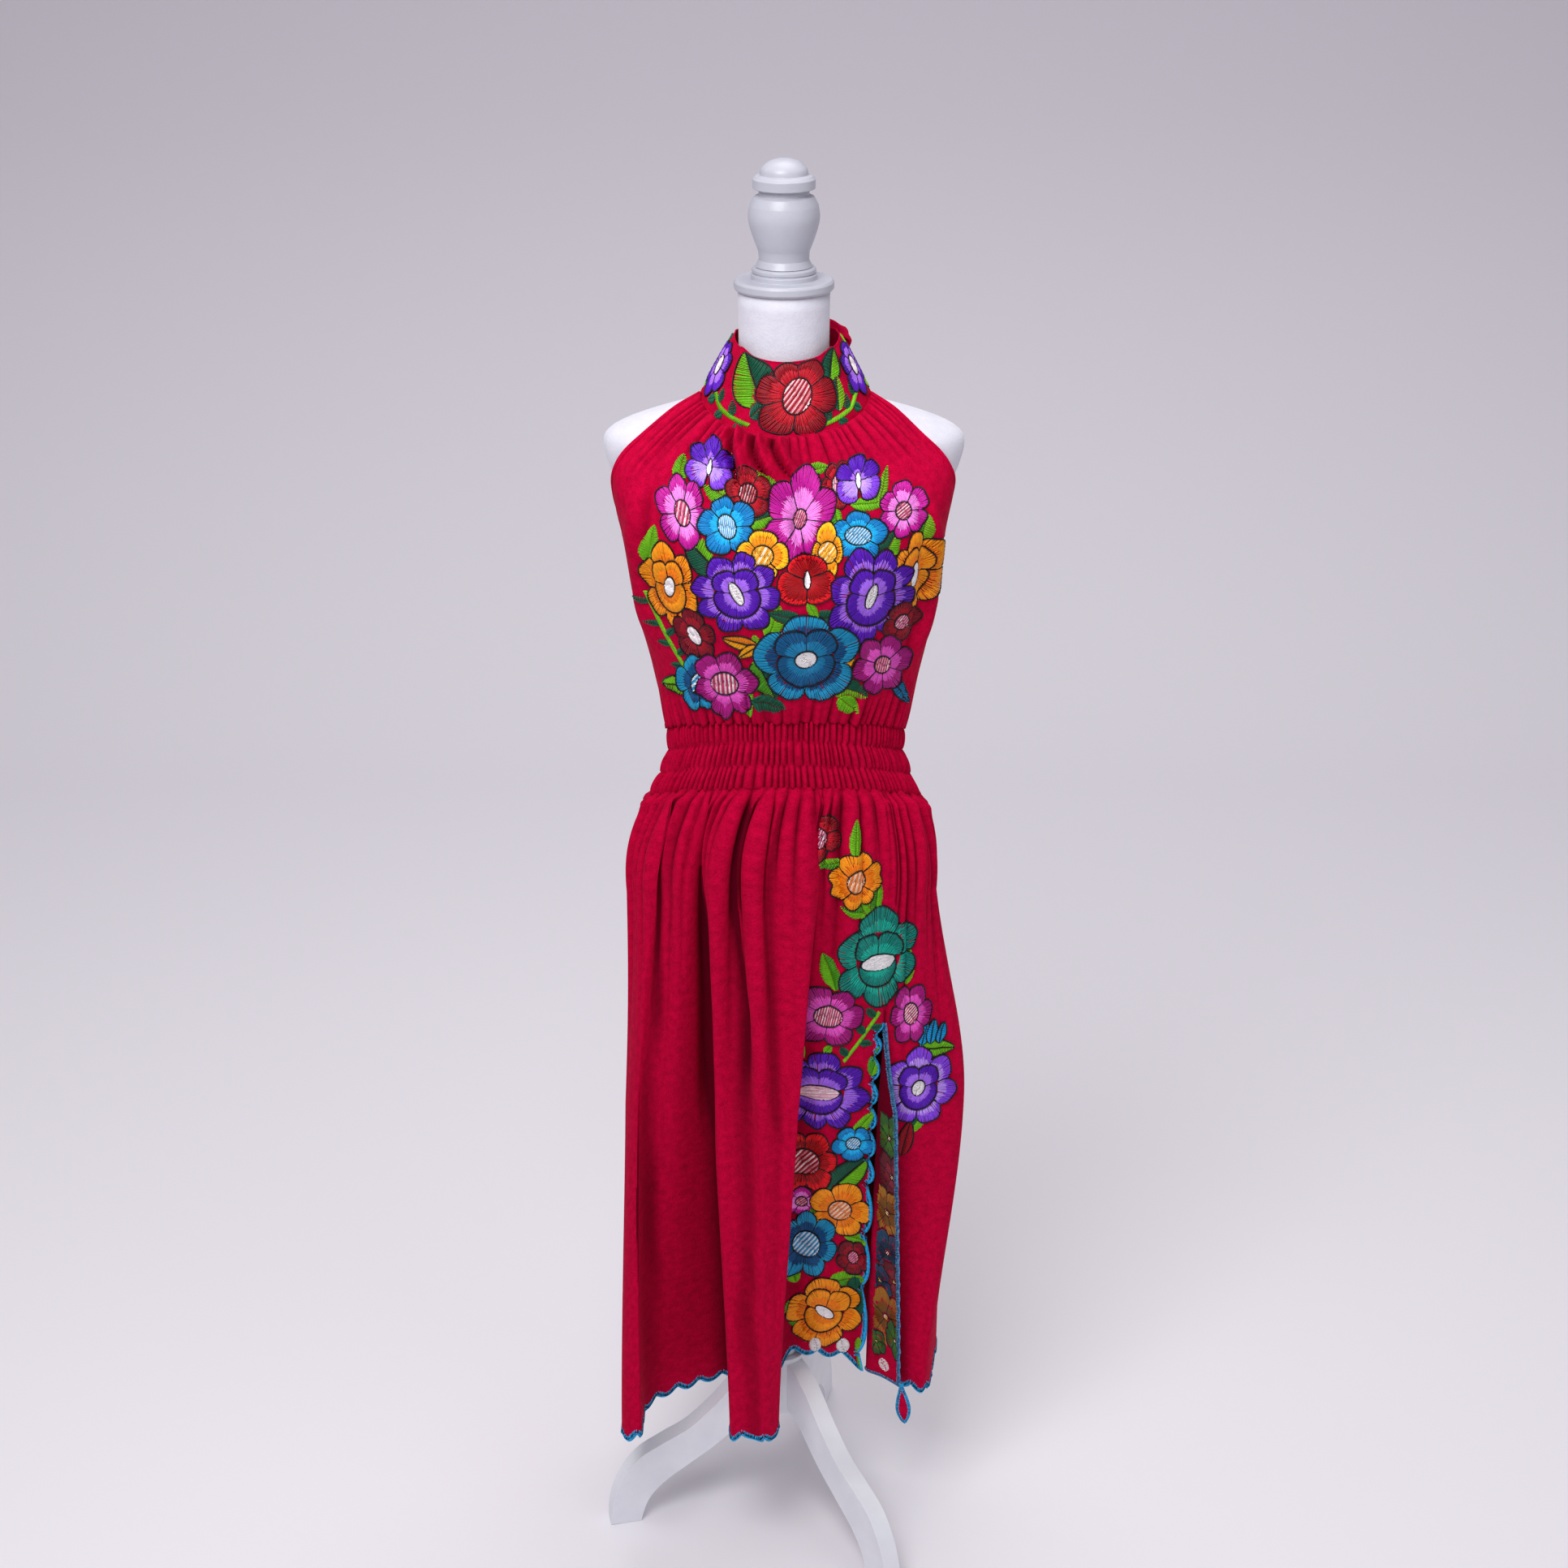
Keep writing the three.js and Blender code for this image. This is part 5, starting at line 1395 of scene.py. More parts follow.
def iris(area, x, z, width, height, turn=0):
    """Three upright petals, two falls, and a narrow pale eye."""
    motif = Motif(area)
    frame = ((x, z), (width, height), turn)
    motif.edge = np.concatenate([
        sew_petal(motif, frame, sector, round_eye(IRIS_EYE, 0), tip, colours, split, 0.03)
        for sector, tip, colours, split in IRIS_PARTS
    ])
    sew_eye(motif, frame, IRIS_EYE, 0, EYES["white"], 0, 80)
    return motif


def leaf(area, base, tip, width, colours=("lime", "dark green"), outline=False):
    """A fishbone leaf from its base to its tip; its two halves may differ in colour."""
    motif = Motif(area)
    base, run = np.array(base), np.array(tip) - np.array(base)
    length = float(np.hypot(*run))
    ahead = run / length
    beside = np.array([-ahead[1], ahead[0]])

    def half_width(share):
        return width / 2 * np.sin(math.pi * share**0.8) ** 0.7

    count = int(length / PITCH)
    for side, colour in ((1, colours[0]), (-1, colours[1])):
        for n in range(count):
            share = (n + 0.5) / count
            half = half_width(share)
            root = base + ahead * length * max(0.0, share - FISHBONE_SLANT * half / length)
            rim = base + ahead * length * share + beside * side * half * rng.uniform(0.93, 1.05)
            motif.stitches.append(stitch(root, rim, motif.dyed(FLOSS[colour][n % 2], 0.08)))
    share = np.linspace(0, 1, 16)
    middle = base + ahead * (length * share)[:, None]
    out = beside * half_width(share)[:, None]
    left, right = middle + out, middle - out
    motif.edge = np.concatenate([left, right[::-1]])
    if outline:
        motif.outlines += [left, right, middle]
    return motif


def stem(area, path, width=0.0042, colours="lime"):
    """Short slanted stitches across a path."""
    motif = Motif(area)
    line = smooth_line(path, np.linspace(0, len(path) - 1, 60))
    reach = reach_along(line)
    for distance in np.arange(0, reach[-1], PITCH * 1.05):
        here, on, before = (at_reach(line, reach, distance + off) for off in (0, 0.001, -0.001))
        ahead = (on - before) / max(np.hypot(*(on - before)), 1e-9)
        across = np.array([-ahead[1], ahead[0]]) * width / 2 + ahead * width * 0.22
        dyed = motif.dyed(FLOSS[colours][0], 0.10)
        motif.stitches.append(stitch(here - across, here + across, dyed))
    return motif


def oval(area, x, z, width, height):
    """A small padded white oval."""
    motif = Motif(area)
    frame = ((x, z), (width, height), 0)
    sew_eye(motif, frame, (1, 1), 0, EYES["white"], 0, 20)
    motif.outlines = []
    angles = np.linspace(0, FULL_TURN, 20)
    motif.edge = framed(polar(1.0, angles), frame)
    return motif


# %% [markdown]
# The chart follows the real dress's layout: a dense bouquet on the bodice, one tall climbing spray
# beside the slit, a short one beyond it, and a wreath round the collar. The flowers are the usual
# rounds, roses and irises of this kind of village embroidery, drawn again. Shapes that come
# later lie over the earlier ones.

# %% Chart of the bodice
def sprig(area, path, leaflets, length=0.013, width=0.008):
    """A stem with small leaves on either side in turn."""
    made = []
    for n, at in enumerate(np.linspace(0.4, len(path) - 1.3, leaflets)):
        here, on = smooth_line(path, at), smooth_line(path, at + 0.1)
        ahead = (on - here) / np.hypot(*(on - here))
        across = np.array([-ahead[1], ahead[0]]) * (1 if n % 2 else -1)
        tip = here + across * length - ahead * length * 0.45
        made.append(leaf(area, here + across * 0.002, tip, width, ("dark green", "dark green")))
    return [*made, stem(area, path)]


def bodice_chart():
    b = "bodice"
    return [
        leaf(b, (-0.106, 1.318), (-0.098, 1.344), 0.015, ("lime", "lime")),
        leaf(b, (-0.056, 1.306), (-0.080, 1.323), 0.021, ("lime", "olive")),
        leaf(b, (-0.004, 1.312), (-0.030, 1.331), 0.012, ("olive", "olive")),
        leaf(b, (-0.052, 1.280), (-0.008, 1.293), 0.022, ("dark green", "lime")),
        leaf(b, (-0.139, 1.236), (-0.128, 1.279), 0.018, ("lime", "lime")),
        leaf(b, (-0.060, 1.232), (-0.098, 1.270), 0.034, ("dark green", "lime"), True),
        leaf(b, (0.020, 1.332), (0.044, 1.335), 0.012, ("lime", "lime")),
        leaf(b, (0.066, 1.301), (0.102, 1.302), 0.014, ("lime", "lime")),
        leaf(b, (0.094, 1.300), (0.102, 1.334), 0.010, ("olive", "olive")),
        leaf(b, (0.048, 1.303), (0.056, 1.270), 0.012, ("lime", "mid green")),
        leaf(b, (0.092, 1.236), (0.113, 1.276), 0.024, ("dark green", "lime")),
        leaf(b, (0.141, 1.288), (0.138, 1.246), 0.012, ("olive", "mid green")),
        leaf(b, (-0.094, 1.100), (-0.126, 1.088), 0.022, ("lime", "lime"), True),
        leaf(b, (-0.028, 1.140), (-0.008, 1.094), 0.032, ("dark green", "mid green"), True),
        leaf(b, (-0.040, 1.118), (-0.034, 1.070), 0.013, ("lime", "olive")),
        leaf(b, (-0.032, 1.092), (0.002, 1.084), 0.020, ("dark green", "dark green")),
        leaf(b, (0.046, 1.112), (0.084, 1.090), 0.026, ("dark green", "olive")),
        leaf(b, (0.056, 1.092), (0.074, 1.072), 0.020, ("lime", "lime")),
        leaf(b, (-0.016, 1.168), (-0.004, 1.204), 0.020, ("lime", "lime")),
        leaf(b, (0.020, 1.186), (-0.016, 1.196), 0.016, ("dark green", "dark green")),
        leaf(b, (0.026, 1.188), (0.060, 1.190), 0.018, ("dark green", "dark green")),
        leaf(b, (0.024, 1.206), (0.034, 1.186), 0.010, ("lime", "lime")),
        leaf(b, (-0.030, 1.170), (-0.024, 1.146), 0.010, ("olive", "olive")),
        leaf(b, (0.066, 1.150), (0.052, 1.176), 0.012, ("olive", "olive")),
        leaf(b, (0.112, 1.104), (0.126, 1.066), 0.012, ("deep blue", "deep blue"), True),
        leaf(b, (0.058, 1.122), (0.072, 1.152), 0.012, ("yellow", "yellow"), True),
        *sprig(b, [(-0.138, 1.199), (-0.126, 1.166), (-0.110, 1.134), (-0.090, 1.100)], 8),
        leaf(b, (-0.026, 1.156), (-0.062, 1.164), 0.017, ("yellow", "orange"), True),
        leaf(b, (-0.026, 1.158), (-0.046, 1.142), 0.013, ("yellow", "yellow"), True),
        iris(b, -0.072, 1.334, 0.052, 0.048, -12),
        flower(
            b, -0.035, 1.311, 0.049, 0.045, 5, "dark red", 10, (0.36, 0.38), 0, "red",
            stripe=1, first=50,
        ),
        flower(
            b, -0.100, 1.292, 0.053, 0.074, 6, "bright magenta", 12, (0.28, 0.34), 0,
            "pink", 0.035, first=62,
        ),
        flower(
            b, -0.056, 1.281, 0.062, 0.060, 5, "azure", 18, (0.28, 0.40), 0, "blue", 0.03,
            0.03, 0.4, 1, 55,
        ),
        flower(
            b, 0.053, 1.319, 0.036, 0.044, 5, "dark red", 0, (0.34, 0.44), 10, "pink",
            stripe=1, first=20,
        ),
        iris(b, 0.073, 1.322, 0.050, 0.046, 6),
        flower(
            b, 0.118, 1.293, 0.052, 0.056, 6, "bright magenta", 0, (0.30, 0.30), 0, "pink",
            0.035, stripe=1,
        ),
        flower(
            b, 0.016, 1.289, 0.072, 0.094, 6, "bright magenta", -8, (0.17, 0.20), 0, "pink",
            0.035, 0, 0.5, 1, 55,
        ),
        flower(b, 0.073, 1.272, 0.060, 0.050, 5, "azure", 0, (0.44, 0.36), -8, "blue", 0.03, 0, 0.4, 1, 55),
        flower(
            b, -0.021, 1.254, 0.056, 0.050, 4, "yellow", 0, (0.38, 0.40), 0, "amber", 0.02,
            0.04, 0.6, 2, 45,
        ),
        flower(
            b, 0.043, 1.257, 0.031, 0.058, 4, "yellow", 0, (0.60, 0.36), 0, "amber", 0.02,
            0.04, 0.6, 2, 45,
        ),
        flower(
            b, 0.023, 1.229, 0.062, 0.058, 3, "bright red", 0, (0.12, 0.30), 0, "white",
            0.03, 0, 0.8, 0, 30,
        ),
        *rose(b, -0.114, 1.214, 0.058, 0.098, 6, "orange", "orange", 8, (0.26, 0.17), 60, (0.66, 0.62)),
        *rose(b, 0.131, 1.222, 0.050, 0.106, 6, "orange", "orange", -8, (0.30, 0.16), 100, (0.66, 0.62)),
        *rose(b, -0.047, 1.215, 0.090, 0.088, 8, "purple", "purple", 6, (0.12, 0.30), 20, (0.62, 0.60)),
        *rose(b, 0.087, 1.208, 0.092, 0.108, 8, "purple", "purple", -4, (0.11, 0.26), -16, (0.60, 0.62)),
        flower(
            b, -0.090, 1.162, 0.045, 0.062, 5, "burgundy", 20, (0.26, 0.38), 10, "white",
            0.03, stripe=3, first=30,
        ),
        flower(
            b, 0.119, 1.170, 0.042, 0.048, 4, "burgundy", 0, (0.36, 0.36), 0, "pink", 0.03,
            stripe=1, first=45,
        ),
        flower(b, -0.088, 1.103, 0.046, 0.074, 5, "sea blue", 0, (0.26, 0.32), 0, "blue", 0.03),
        flower(
            b, 0.100, 1.124, 0.062, 0.076, 6, "magenta", 12, (0.27, 0.28), 0, "pink", 0.04,
            0, 0.5, 1, 20,
        ),
        flower(
            b, -0.060, 1.108, 0.066, 0.082, 6, "magenta", 8, (0.44, 0.34), 10, "pink", 0.04,
            0, 0.5, 2, 35,
        ),
        *rose(b, 0.022, 1.142, 0.112, 0.112, 5, "sea blue", "deep blue", 0, (0.20, 0.17), 20, (0.68, 0.60),
              "white", 0.02, 54),
    ]


# %% Chart of the skirt
def skirt_chart():
    return [
        leaf("hip", (0.072, 0.918), (0.072, 0.955), 0.012, ("lime", "lime")),
        leaf("hip", (0.062, 0.911), (0.034, 0.911), 0.012, ("mid green", "lime")),
        leaf("hip", (0.094, 0.846), (0.060, 0.862), 0.015, ("lime", "mid green")),
        leaf("hip", (0.094, 0.846), (0.081, 0.880), 0.014, ("lime", "lime")),
        leaf("hip", (0.096, 0.846), (0.099, 0.892), 0.014, ("mid green", "lime")),
        flower(
            "hip", 0.036, 0.940, 0.052, 0.052, 5, "dark red", 0, (0.34, 0.40), 0, "pink",
            stripe=1, first=20,
        ),
        flower(
            "hip", 0.075, 0.891, 0.058, 0.070, 4, "orange", 0, (0.32, 0.36), 0, "peach",
            0.02, 0.16, 0.5, 2, 45,
        ),
        leaf("hip", (0.056, 0.756), (0.042, 0.802), 0.020, ("lime", "mid green")),
        leaf("hip", (0.134, 0.752), (0.136, 0.796), 0.014, ("lime", "lime")),
        *rose(
            "hip", 0.101, 0.792, 0.094, 0.124, 6, "teal", "teal", 0, (0.40, 0.155), 3,
            (0.66, 0.50), "white", 0.02, 2, 0.006,
        ),
        *sprig("panel", [(0.104, 0.722), (0.094, 0.704), (0.084, 0.688), (0.066, 0.662)], 5, 0.015, 0.010),
        leaf("panel", (0.097, 0.640), (0.107, 0.680), 0.016, ("mid green", "lime")),
        leaf("panel", (0.010, 0.690), (0.022, 0.664), 0.014, ("lime", "lime")),
        leaf("panel", (0.044, 0.672), (0.052, 0.684), 0.010, ("lime", "lime")),
        flower(
            "panel", 0.048, 0.721, 0.086, 0.080, 6, "magenta", 10, (0.36, 0.34), 20, "pink",
            0.035, 0, 0.5, 1, 20,
        ),
        leaf("panel", (0.074, 0.552), (0.102, 0.592), 0.014, ("lime", "lime")),
        leaf("panel", (0.052, 0.478), (0.094, 0.524), 0.036, ("dark green", "lime"), True),
        *rose(
            "panel", 0.038, 0.618, 0.116, 0.110, 8, "purple", "purple", 0, (0.42, 0.17), 0,
            (0.66, 0.54), "pink", 0.03,
        ),
        flower(
            "panel", 0.078, 0.546, 0.052, 0.052, 5, "azure", 0, (0.32, 0.34), 0, "blue",
            0.02, 0, 0.5, 1, 18,
        ),
        flower(
            "panel", 0.022, 0.518, 0.080, 0.092, 6, "bright red", 0, (0.44, 0.40), 0, "red",
            0.02, 0, 0.6, 2, 30,
        ),
        flower(
            "panel", 0.020, 0.459, 0.040, 0.042, 4, "bright magenta", 0, (0.32, 0.34), 0,
            "pink", 0.02, 0, 0.5, 1, 45,
        ),
        leaf("panel", (0.070, 0.408), (0.100, 0.398), 0.016, ("lime", "lime")),
        leaf("panel", (0.040, 0.424), (0.030, 0.450), 0.014, ("olive", "mid green")),
        leaf("panel", (0.052, 0.334), (0.094, 0.344), 0.026, ("lime", "mid green")),
        leaf("panel", (0.082, 0.344), (0.088, 0.286), 0.022, ("dark green", "dark green")),
        leaf("panel", (0.014, 0.336), (0.010, 0.362), 0.014, ("lime", "lime")),
        flower(
            "panel", 0.064, 0.447, 0.074, 0.086, 5, "orange", 10, (0.36, 0.34), -20,
            "peach", 0.025, 0, 0.5, 2, 18,
        ),
        flower(
            "panel", 0.026, 0.395, 0.074, 0.104, 7, "sea blue", 0, (0.42, 0.38), 0, "blue",
            0.02, 0, 0.5, 2, 10,
        ),
        flower(
            "panel", 0.080, 0.374, 0.040, 0.054, 5, "burgundy", 0, (0.30, 0.36), 0, "pink",
            0.03, 0, 0.5, 1, 30,
        ),
        leaf("panel", (0.006, 0.310), (0.026, 0.244), 0.018, ("olive", "mid green")),
        leaf("panel", (0.088, 0.252), (0.093, 0.206), 0.014, ("olive", "lime")),
        *rose(
            "panel", 0.048, 0.290, 0.094, 0.112, 6, "orange", "orange", -14, (0.30, 0.12),
            -24, (0.68, 0.56), "white", 0.03, 20,
        ),
        oval("panel", 0.037, 0.240, 0.015, 0.021),
        oval("panel", 0.070, 0.236, 0.015, 0.021),
        leaf("flap", (0.148, 0.668), (0.190, 0.660), 0.022, ("lime", "lime"), True),
        leaf("flap", (0.152, 0.672), (0.158, 0.698), 0.012, ("azure", "azure"), True),
        leaf("flap", (0.162, 0.672), (0.166, 0.702), 0.013, ("azure", "azure"), True),
        leaf("flap", (0.172, 0.670), (0.178, 0.694), 0.012, ("azure", "azure"), True),
        flower(
            "flap", 0.139, 0.714, 0.048, 0.080, 6, "magenta", 0, (0.34, 0.34), 0, "pink",
            0.035, 0, 0.5, 1, 30,
        ),
        leaf("flap", (0.140, 0.556), (0.168, 0.602), 0.020, ("dark green", "lime")),
        leaf("flap", (0.132, 0.524), (0.142, 0.572), 0.018, ("dark red", "dark red"), True),
        *rose("flap", 0.150, 0.616, 0.090, 0.104, 7, "lilac", "purple", 0, (0.16, 0.20), -24, (0.62, 0.56)),
    ]


# %% Chart of the collar
def collar_chart():
    c = "collar"
    made = []
    for side in (-1, 1):
        made += [
            *sprig(
                c, [(side * 0.080, -0.050), (side * 0.060, -0.059), (side * 0.030,
                -0.063)], 5, 0.012, 0.009,
            ),
            *sprig(
                c, [(side * 0.108, -0.060), (side * 0.120, -0.045), (side * 0.128,
                -0.020)], 4, 0.012, 0.009,
            ),
            leaf(c, (side * 0.112, -0.022), (side * 0.128, -0.008), 0.015, ("lime", "dark green")),
            flower(
                c, side * 0.094, -0.034, 0.046, 0.054, 6, "purple", 0, (0.26, 0.34), 0,
                "white", 0.03, stripe=3,
            ),
            flower(
                c, side * 0.150, -0.038, 0.044, 0.048, 5, "bright magenta", 0, (0.30,
                0.30), 0, "pink", 0.03, stripe=1,
            ),
            leaf(c, (side * 0.172, -0.044), (side * 0.196, -0.024), 0.020, ("lime", "dark green")),
        ]
    made += [
        leaf(c, (-0.020, -0.044), (-0.056, -0.003), 0.050, ("lime", "dark green"), True),
        leaf(c, (-0.030, -0.056), (-0.016, -0.042), 0.014, ("dark green", "dark green")),
        leaf(c, (0.048, -0.034), (0.064, -0.001), 0.024, ("dark green", "lime"), True),
        leaf(c, (0.050, -0.056), (0.058, -0.030), 0.014, ("dark green", "olive")),
        flower(
            c, 0.013, -0.036, 0.088, 0.076, 6, "dark red", 8, (0.31, 0.42), -28, "red",
            0.03, 0, 0.5, 2, 15,
        ),
    ]
    return made


# %% Chart of the turned-back strip, which shows the stitches' wrong side
LAPEL_SHAPES = [
    (0.118, 0.560, 0.0300, 0.0720, "back of green"), (0.122, 0.506, 0.0330, 0.0672, "back of red"),
    (0.118, 0.452, 0.0390, 0.0840, "back of orange"), (0.120, 0.392, 0.0420, 0.0768, "back of blue"),
    (0.128, 0.352, 0.0300, 0.0624, "back of red"), (0.112, 0.345, 0.0270, 0.0600, "back of blue"),
    (0.120, 0.292, 0.0540, 0.0960, "back of orange"), (0.110, 0.248, 0.0240, 0.0432, "back of green"),
    (0.131, 0.262, 0.0210, 0.0600, "back of green"),
]


def lapel_chart():
    look = (10, (0.10, 0.1), 0, "amber", 0.08, 0, 0.5, 0)
    blooms = [flower("lapel", *place, 5, colours, *look) for *place, colours in LAPEL_SHAPES]
    return [*blooms, oval("lapel", 0.119, 0.216, 0.013, 0.018)]


# %% [markdown]
# The strands are laid shape by shape. Where a later shape covers part of a stitch, that part is
# left out, so threads never lie buried under others. What is left is a path of four points over
# the folds: low at both ends, where the needle went in, and higher between.

# %% Lay the strands
def contains(edge, places):
    """Which places lie inside a closed edge."""
    x, y = places[:, 0][:, None], places[:, 1][:, None]
    x0, y0 = edge[:, 0][None, :], edge[:, 1][None, :]
    x1, y1 = np.roll(x0, -1, axis=1), np.roll(y0, -1, axis=1)
    crossing = (y0 > y) != (y1 > y)
    at = x0 + (y - y0) / np.where(np.abs(y1 - y0) < 1e-12, 1e-12, y1 - y0) * (x1 - x0)
    return (crossing & (x < at)).sum(axis=1) % 2 == 1


def covered(later, places):
    """Which places lie under a later shape."""
    hidden = np.zeros(len(places), bool)
    low, high = places.min(axis=0), places.max(axis=0)
    for edge in (other.edge for other in later if other.edge is not None):
        apart = (edge.max(axis=0) < low) | (edge.min(axis=0) > high)
        if not apart.any():
            hidden |= contains(edge, places)
    return hidden


def new_strands():
    return dict(points=[], up=[], radius=[], colour=[], sizes=[])


def add_strand(strands, points, up, radius, colour):
    strands["points"].append(points)
    strands["up"].append(up)
    strands["radius"].append(np.broadcast_to(radius, len(points)))
    strands["colour"].append(np.broadcast_to(colour, (len(points), 3)))
    strands["sizes"].append(len(points))


STITCH_SAMPLES = 9
STITCH_POINTS = np.array([0, 0.20, 0.35, 0.5, 0.65, 0.80, 1])
FOLLOW_BEND = 0.0010  # a strand over a fold that bulges more than this follows it with more points
END_WIDTH = 0.55  # how wide a strand is where it enters the cloth, as a share of its width
OUTLINE_STEP, OUTLINE_LIFT = 0.0024, 0.0011


def runs(seen):
    """First and last place of each unbroken run."""
    edges = np.flatnonzero(np.diff(np.concatenate([[0], np.asarray(seen, int), [0]])))
    return [(first, last - 1) for first, last in edges.reshape(-1, 2)]


def lay_stitches(motif, later, strands):
    """Lay the parts of a motif's stitches that no later shape covers."""
    area = areas[motif.area]
    starts, ends = (np.array([s[key] for s in motif.stitches]) for key in ("start", "end"))
    share = np.linspace(0, 1, STITCH_SAMPLES)[None, :, None]
    flat = (starts[:, None] + (ends - starts)[:, None] * share).reshape(-1, 2)
    seen = ~covered(later, flat) & on_cloth(area, flat)[2]
    for n, seen_here in enumerate(seen.reshape(len(starts), STITCH_SAMPLES)):
        first, last = max(runs(seen_here), key=lambda run: run[1] - run[0], default=(0, 0))
        if last - first < 2:
            continue
        first, last = first / (STITCH_SAMPLES - 1), last / (STITCH_SAMPLES - 1)
        t = first + (last - first) * STITCH_POINTS[:, None]
        points, up, _ = on_cloth(area, starts[n] + (ends[n] - starts[n]) * t)
        bend = np.linalg.norm(points[3] - (points[1] + points[5]) / 2)
        use = list(range(7)) if bend > FOLLOW_BEND else [0, 1, 5, 6]
        at_end, given = np.isin(use, (0, 6)), motif.stitches[n]
        lift = np.where(at_end, given["low"], given["high"])[:, None]
        radius = np.where(at_end, END_WIDTH, 1) * given["radius"]
        add_strand(strands, points[use] + up[use] * lift, up[use], radius, given["colour"])


def lay_outlines(motif, later, strands):
    """Lay the parts of a motif's outlines that no later shape covers."""
    for path in motif.outlines:
        reach = reach_along(path)
        count = max(3, int(reach[-1] / OUTLINE_STEP))
        line = at_reach(path, reach, np.linspace(0, reach[-1], count + 1))
        points, up, on = on_cloth(areas[motif.area], line)
        black = linear(OUTLINE_BLACK) * rng.uniform(0.8, 1.6)
        for first, last in runs(on & ~covered(later, line)):
            if last - first >= 2:
                run = slice(first, last + 1)
                cord = OUTLINE * (1 + 0.14 * (-1.0) ** np.arange(last + 1 - first))
                add_strand(strands, points[run] + up[run] * OUTLINE_LIFT, up[run], cord, black)


charts = {
    "bodice": bodice_chart(), "skirt": skirt_chart(), "collar": collar_chart(), "lapel": lapel_chart(),
}
satin, outline = ({name: new_strands() for name in charts} for _ in range(2))
for name, chart in charts.items():
    for number, motif in enumerate(chart):
        lay_stitches(motif, chart[number + 1 :], satin[name])
        lay_outlines(motif, chart[number + 1 :], outline[name])
    stitches, lines = len(satin[name]["sizes"]), len(outline[name]["sizes"])
    print(name, "has", stitches, "stitches and", lines, "outline runs")

# %% [markdown]
# One node tree turns strands into thread. The mesh holds each strand as a chain of edges, with its
# half width, colour and outward direction on the points. The tree makes curves of the chains, lays a
# small flattened ring along them, scaled by each point's half width, and gives them the floss.

# %% Thread from strands with Geometry Nodes
def thread_tree():
    tree = bpy.data.node_groups.new("floss along strands", "GeometryNodeTree")
    face = tree.interface
    face.new_socket("Strands", in_out="INPUT", socket_type="NodeSocketGeometry")
    face.new_socket("Sides", in_out="INPUT", socket_type="NodeSocketInt").default_value = 3
    face.new_socket("Flatness", in_out="INPUT", socket_type="NodeSocketFloat").default_value = 0.9
    face.new_socket("Floss", in_out="INPUT", socket_type="NodeSocketMaterial")
    face.new_socket("Thread", in_out="OUTPUT", socket_type="NodeSocketGeometry")
    given = add_node(tree, "NodeGroupInput")

    def made(kind, links, **settings):
        return add_node(tree, kind, links, **settings).outputs[0]

    def attribute(name, kind):
        return made("GeometryNodeInputNamedAttribute", {"Name": name}, data_type=kind)

    curves = made("GeometryNodeMeshToCurve", {"Mesh": given.outputs["Strands"]})
    facing = {"Curve": curves, "Normal": attribute("thread_up", "FLOAT_VECTOR")}
    upright = made("GeometryNodeSetCurveNormal", facing, mode="FREE")
    circle = {"Resolution": given.outputs["Sides"], "Radius": 1.0}
    flat = made("ShaderNodeCombineXYZ", {0: given.outputs["Flatness"], 1: 1.0, 2: 1.0})
    section = made(
        "GeometryNodeTransform",
        {"Geometry": made("GeometryNodeCurvePrimitiveCircle", circle), "Scale": flat},
    )
    half = attribute("thread_half_width", "FLOAT")
    sweep = {"Curve": upright, "Profile Curve": section, "Scale": half, "Fill Caps": True}
    spun = made("GeometryNodeCurveToMesh", sweep)
    rounded = made("GeometryNodeSetShadeSmooth", {"Geometry": spun})
    real = made("GeometryNodeRealizeInstances", {"Geometry": rounded})
    dyed = made("GeometryNodeSetMaterial", {"Geometry": real, "Material": given.outputs["Floss"]})
    add_node(tree, "NodeGroupOutput", {"Thread": dyed})
    return tree


THREAD_TREE = thread_tree()


def thread_piece(name, strands, sides=3, flatness=0.9):
    """Thread along a set of strands, as one plain mesh."""
    points = placed(np.concatenate(strands["points"]))
    last = np.zeros(len(points), bool)
    last[np.cumsum(strands["sizes"]) - 1] = True
    first = np.flatnonzero(~last)
    mesh = bpy.data.meshes.new(name)
    mesh.from_pydata(points.tolist(), np.stack([first, first + 1], -1).tolist(), [])
    colours = np.concatenate(strands["colour"])
    for attribute, kind, key, values in (
        ("thread_half_width", "FLOAT", "value", np.concatenate(strands["radius"])),
        ("thread_up", "FLOAT_VECTOR", "vector", np.concatenate(strands["up"])),
        ("thread_colour", "FLOAT_COLOR", "color", np.c_[colours, np.ones(len(colours))]),
    ):
        layer = mesh.attributes.new(attribute, kind, "POINT")
        layer.data.foreach_set(key, values.astype(np.float32).ravel())
    strand_object = linked(name + "_strands", mesh)
    nodes = strand_object.modifiers.new("thread", "NODES")
    nodes.node_group = THREAD_TREE
    given = {"Sides": sides, "Flatness": flatness, "Floss": floss}
    for item in THREAD_TREE.interface.items_tree:
        if item.in_out == "INPUT" and item.name in given:
            nodes[item.identifier] = given[item.name]
    evaluated = strand_object.evaluated_get(bpy.context.evaluated_depsgraph_get())
    plain = bpy.data.meshes.new_from_object(evaluated)
    plain.name = name
    strand_object.modifiers.remove(nodes)
    bpy.data.objects.remove(strand_object)
    return counted(linked(name, plain))


embroidery = [
    thread_piece(kind + "_stitch_" + name, sets[name])
    for name in satin
    for kind, sets in (("satin", satin), ("outline", outline))
]


# %% [markdown]
# The hem and both edges of the slit are finished with close blanket stitches in bright blue floss,
# which wrap the cut edge from 5 mm inside on the right side to 4 mm inside on the wrong side. The
# edge is cut in scallops first, so the stitches follow it round.

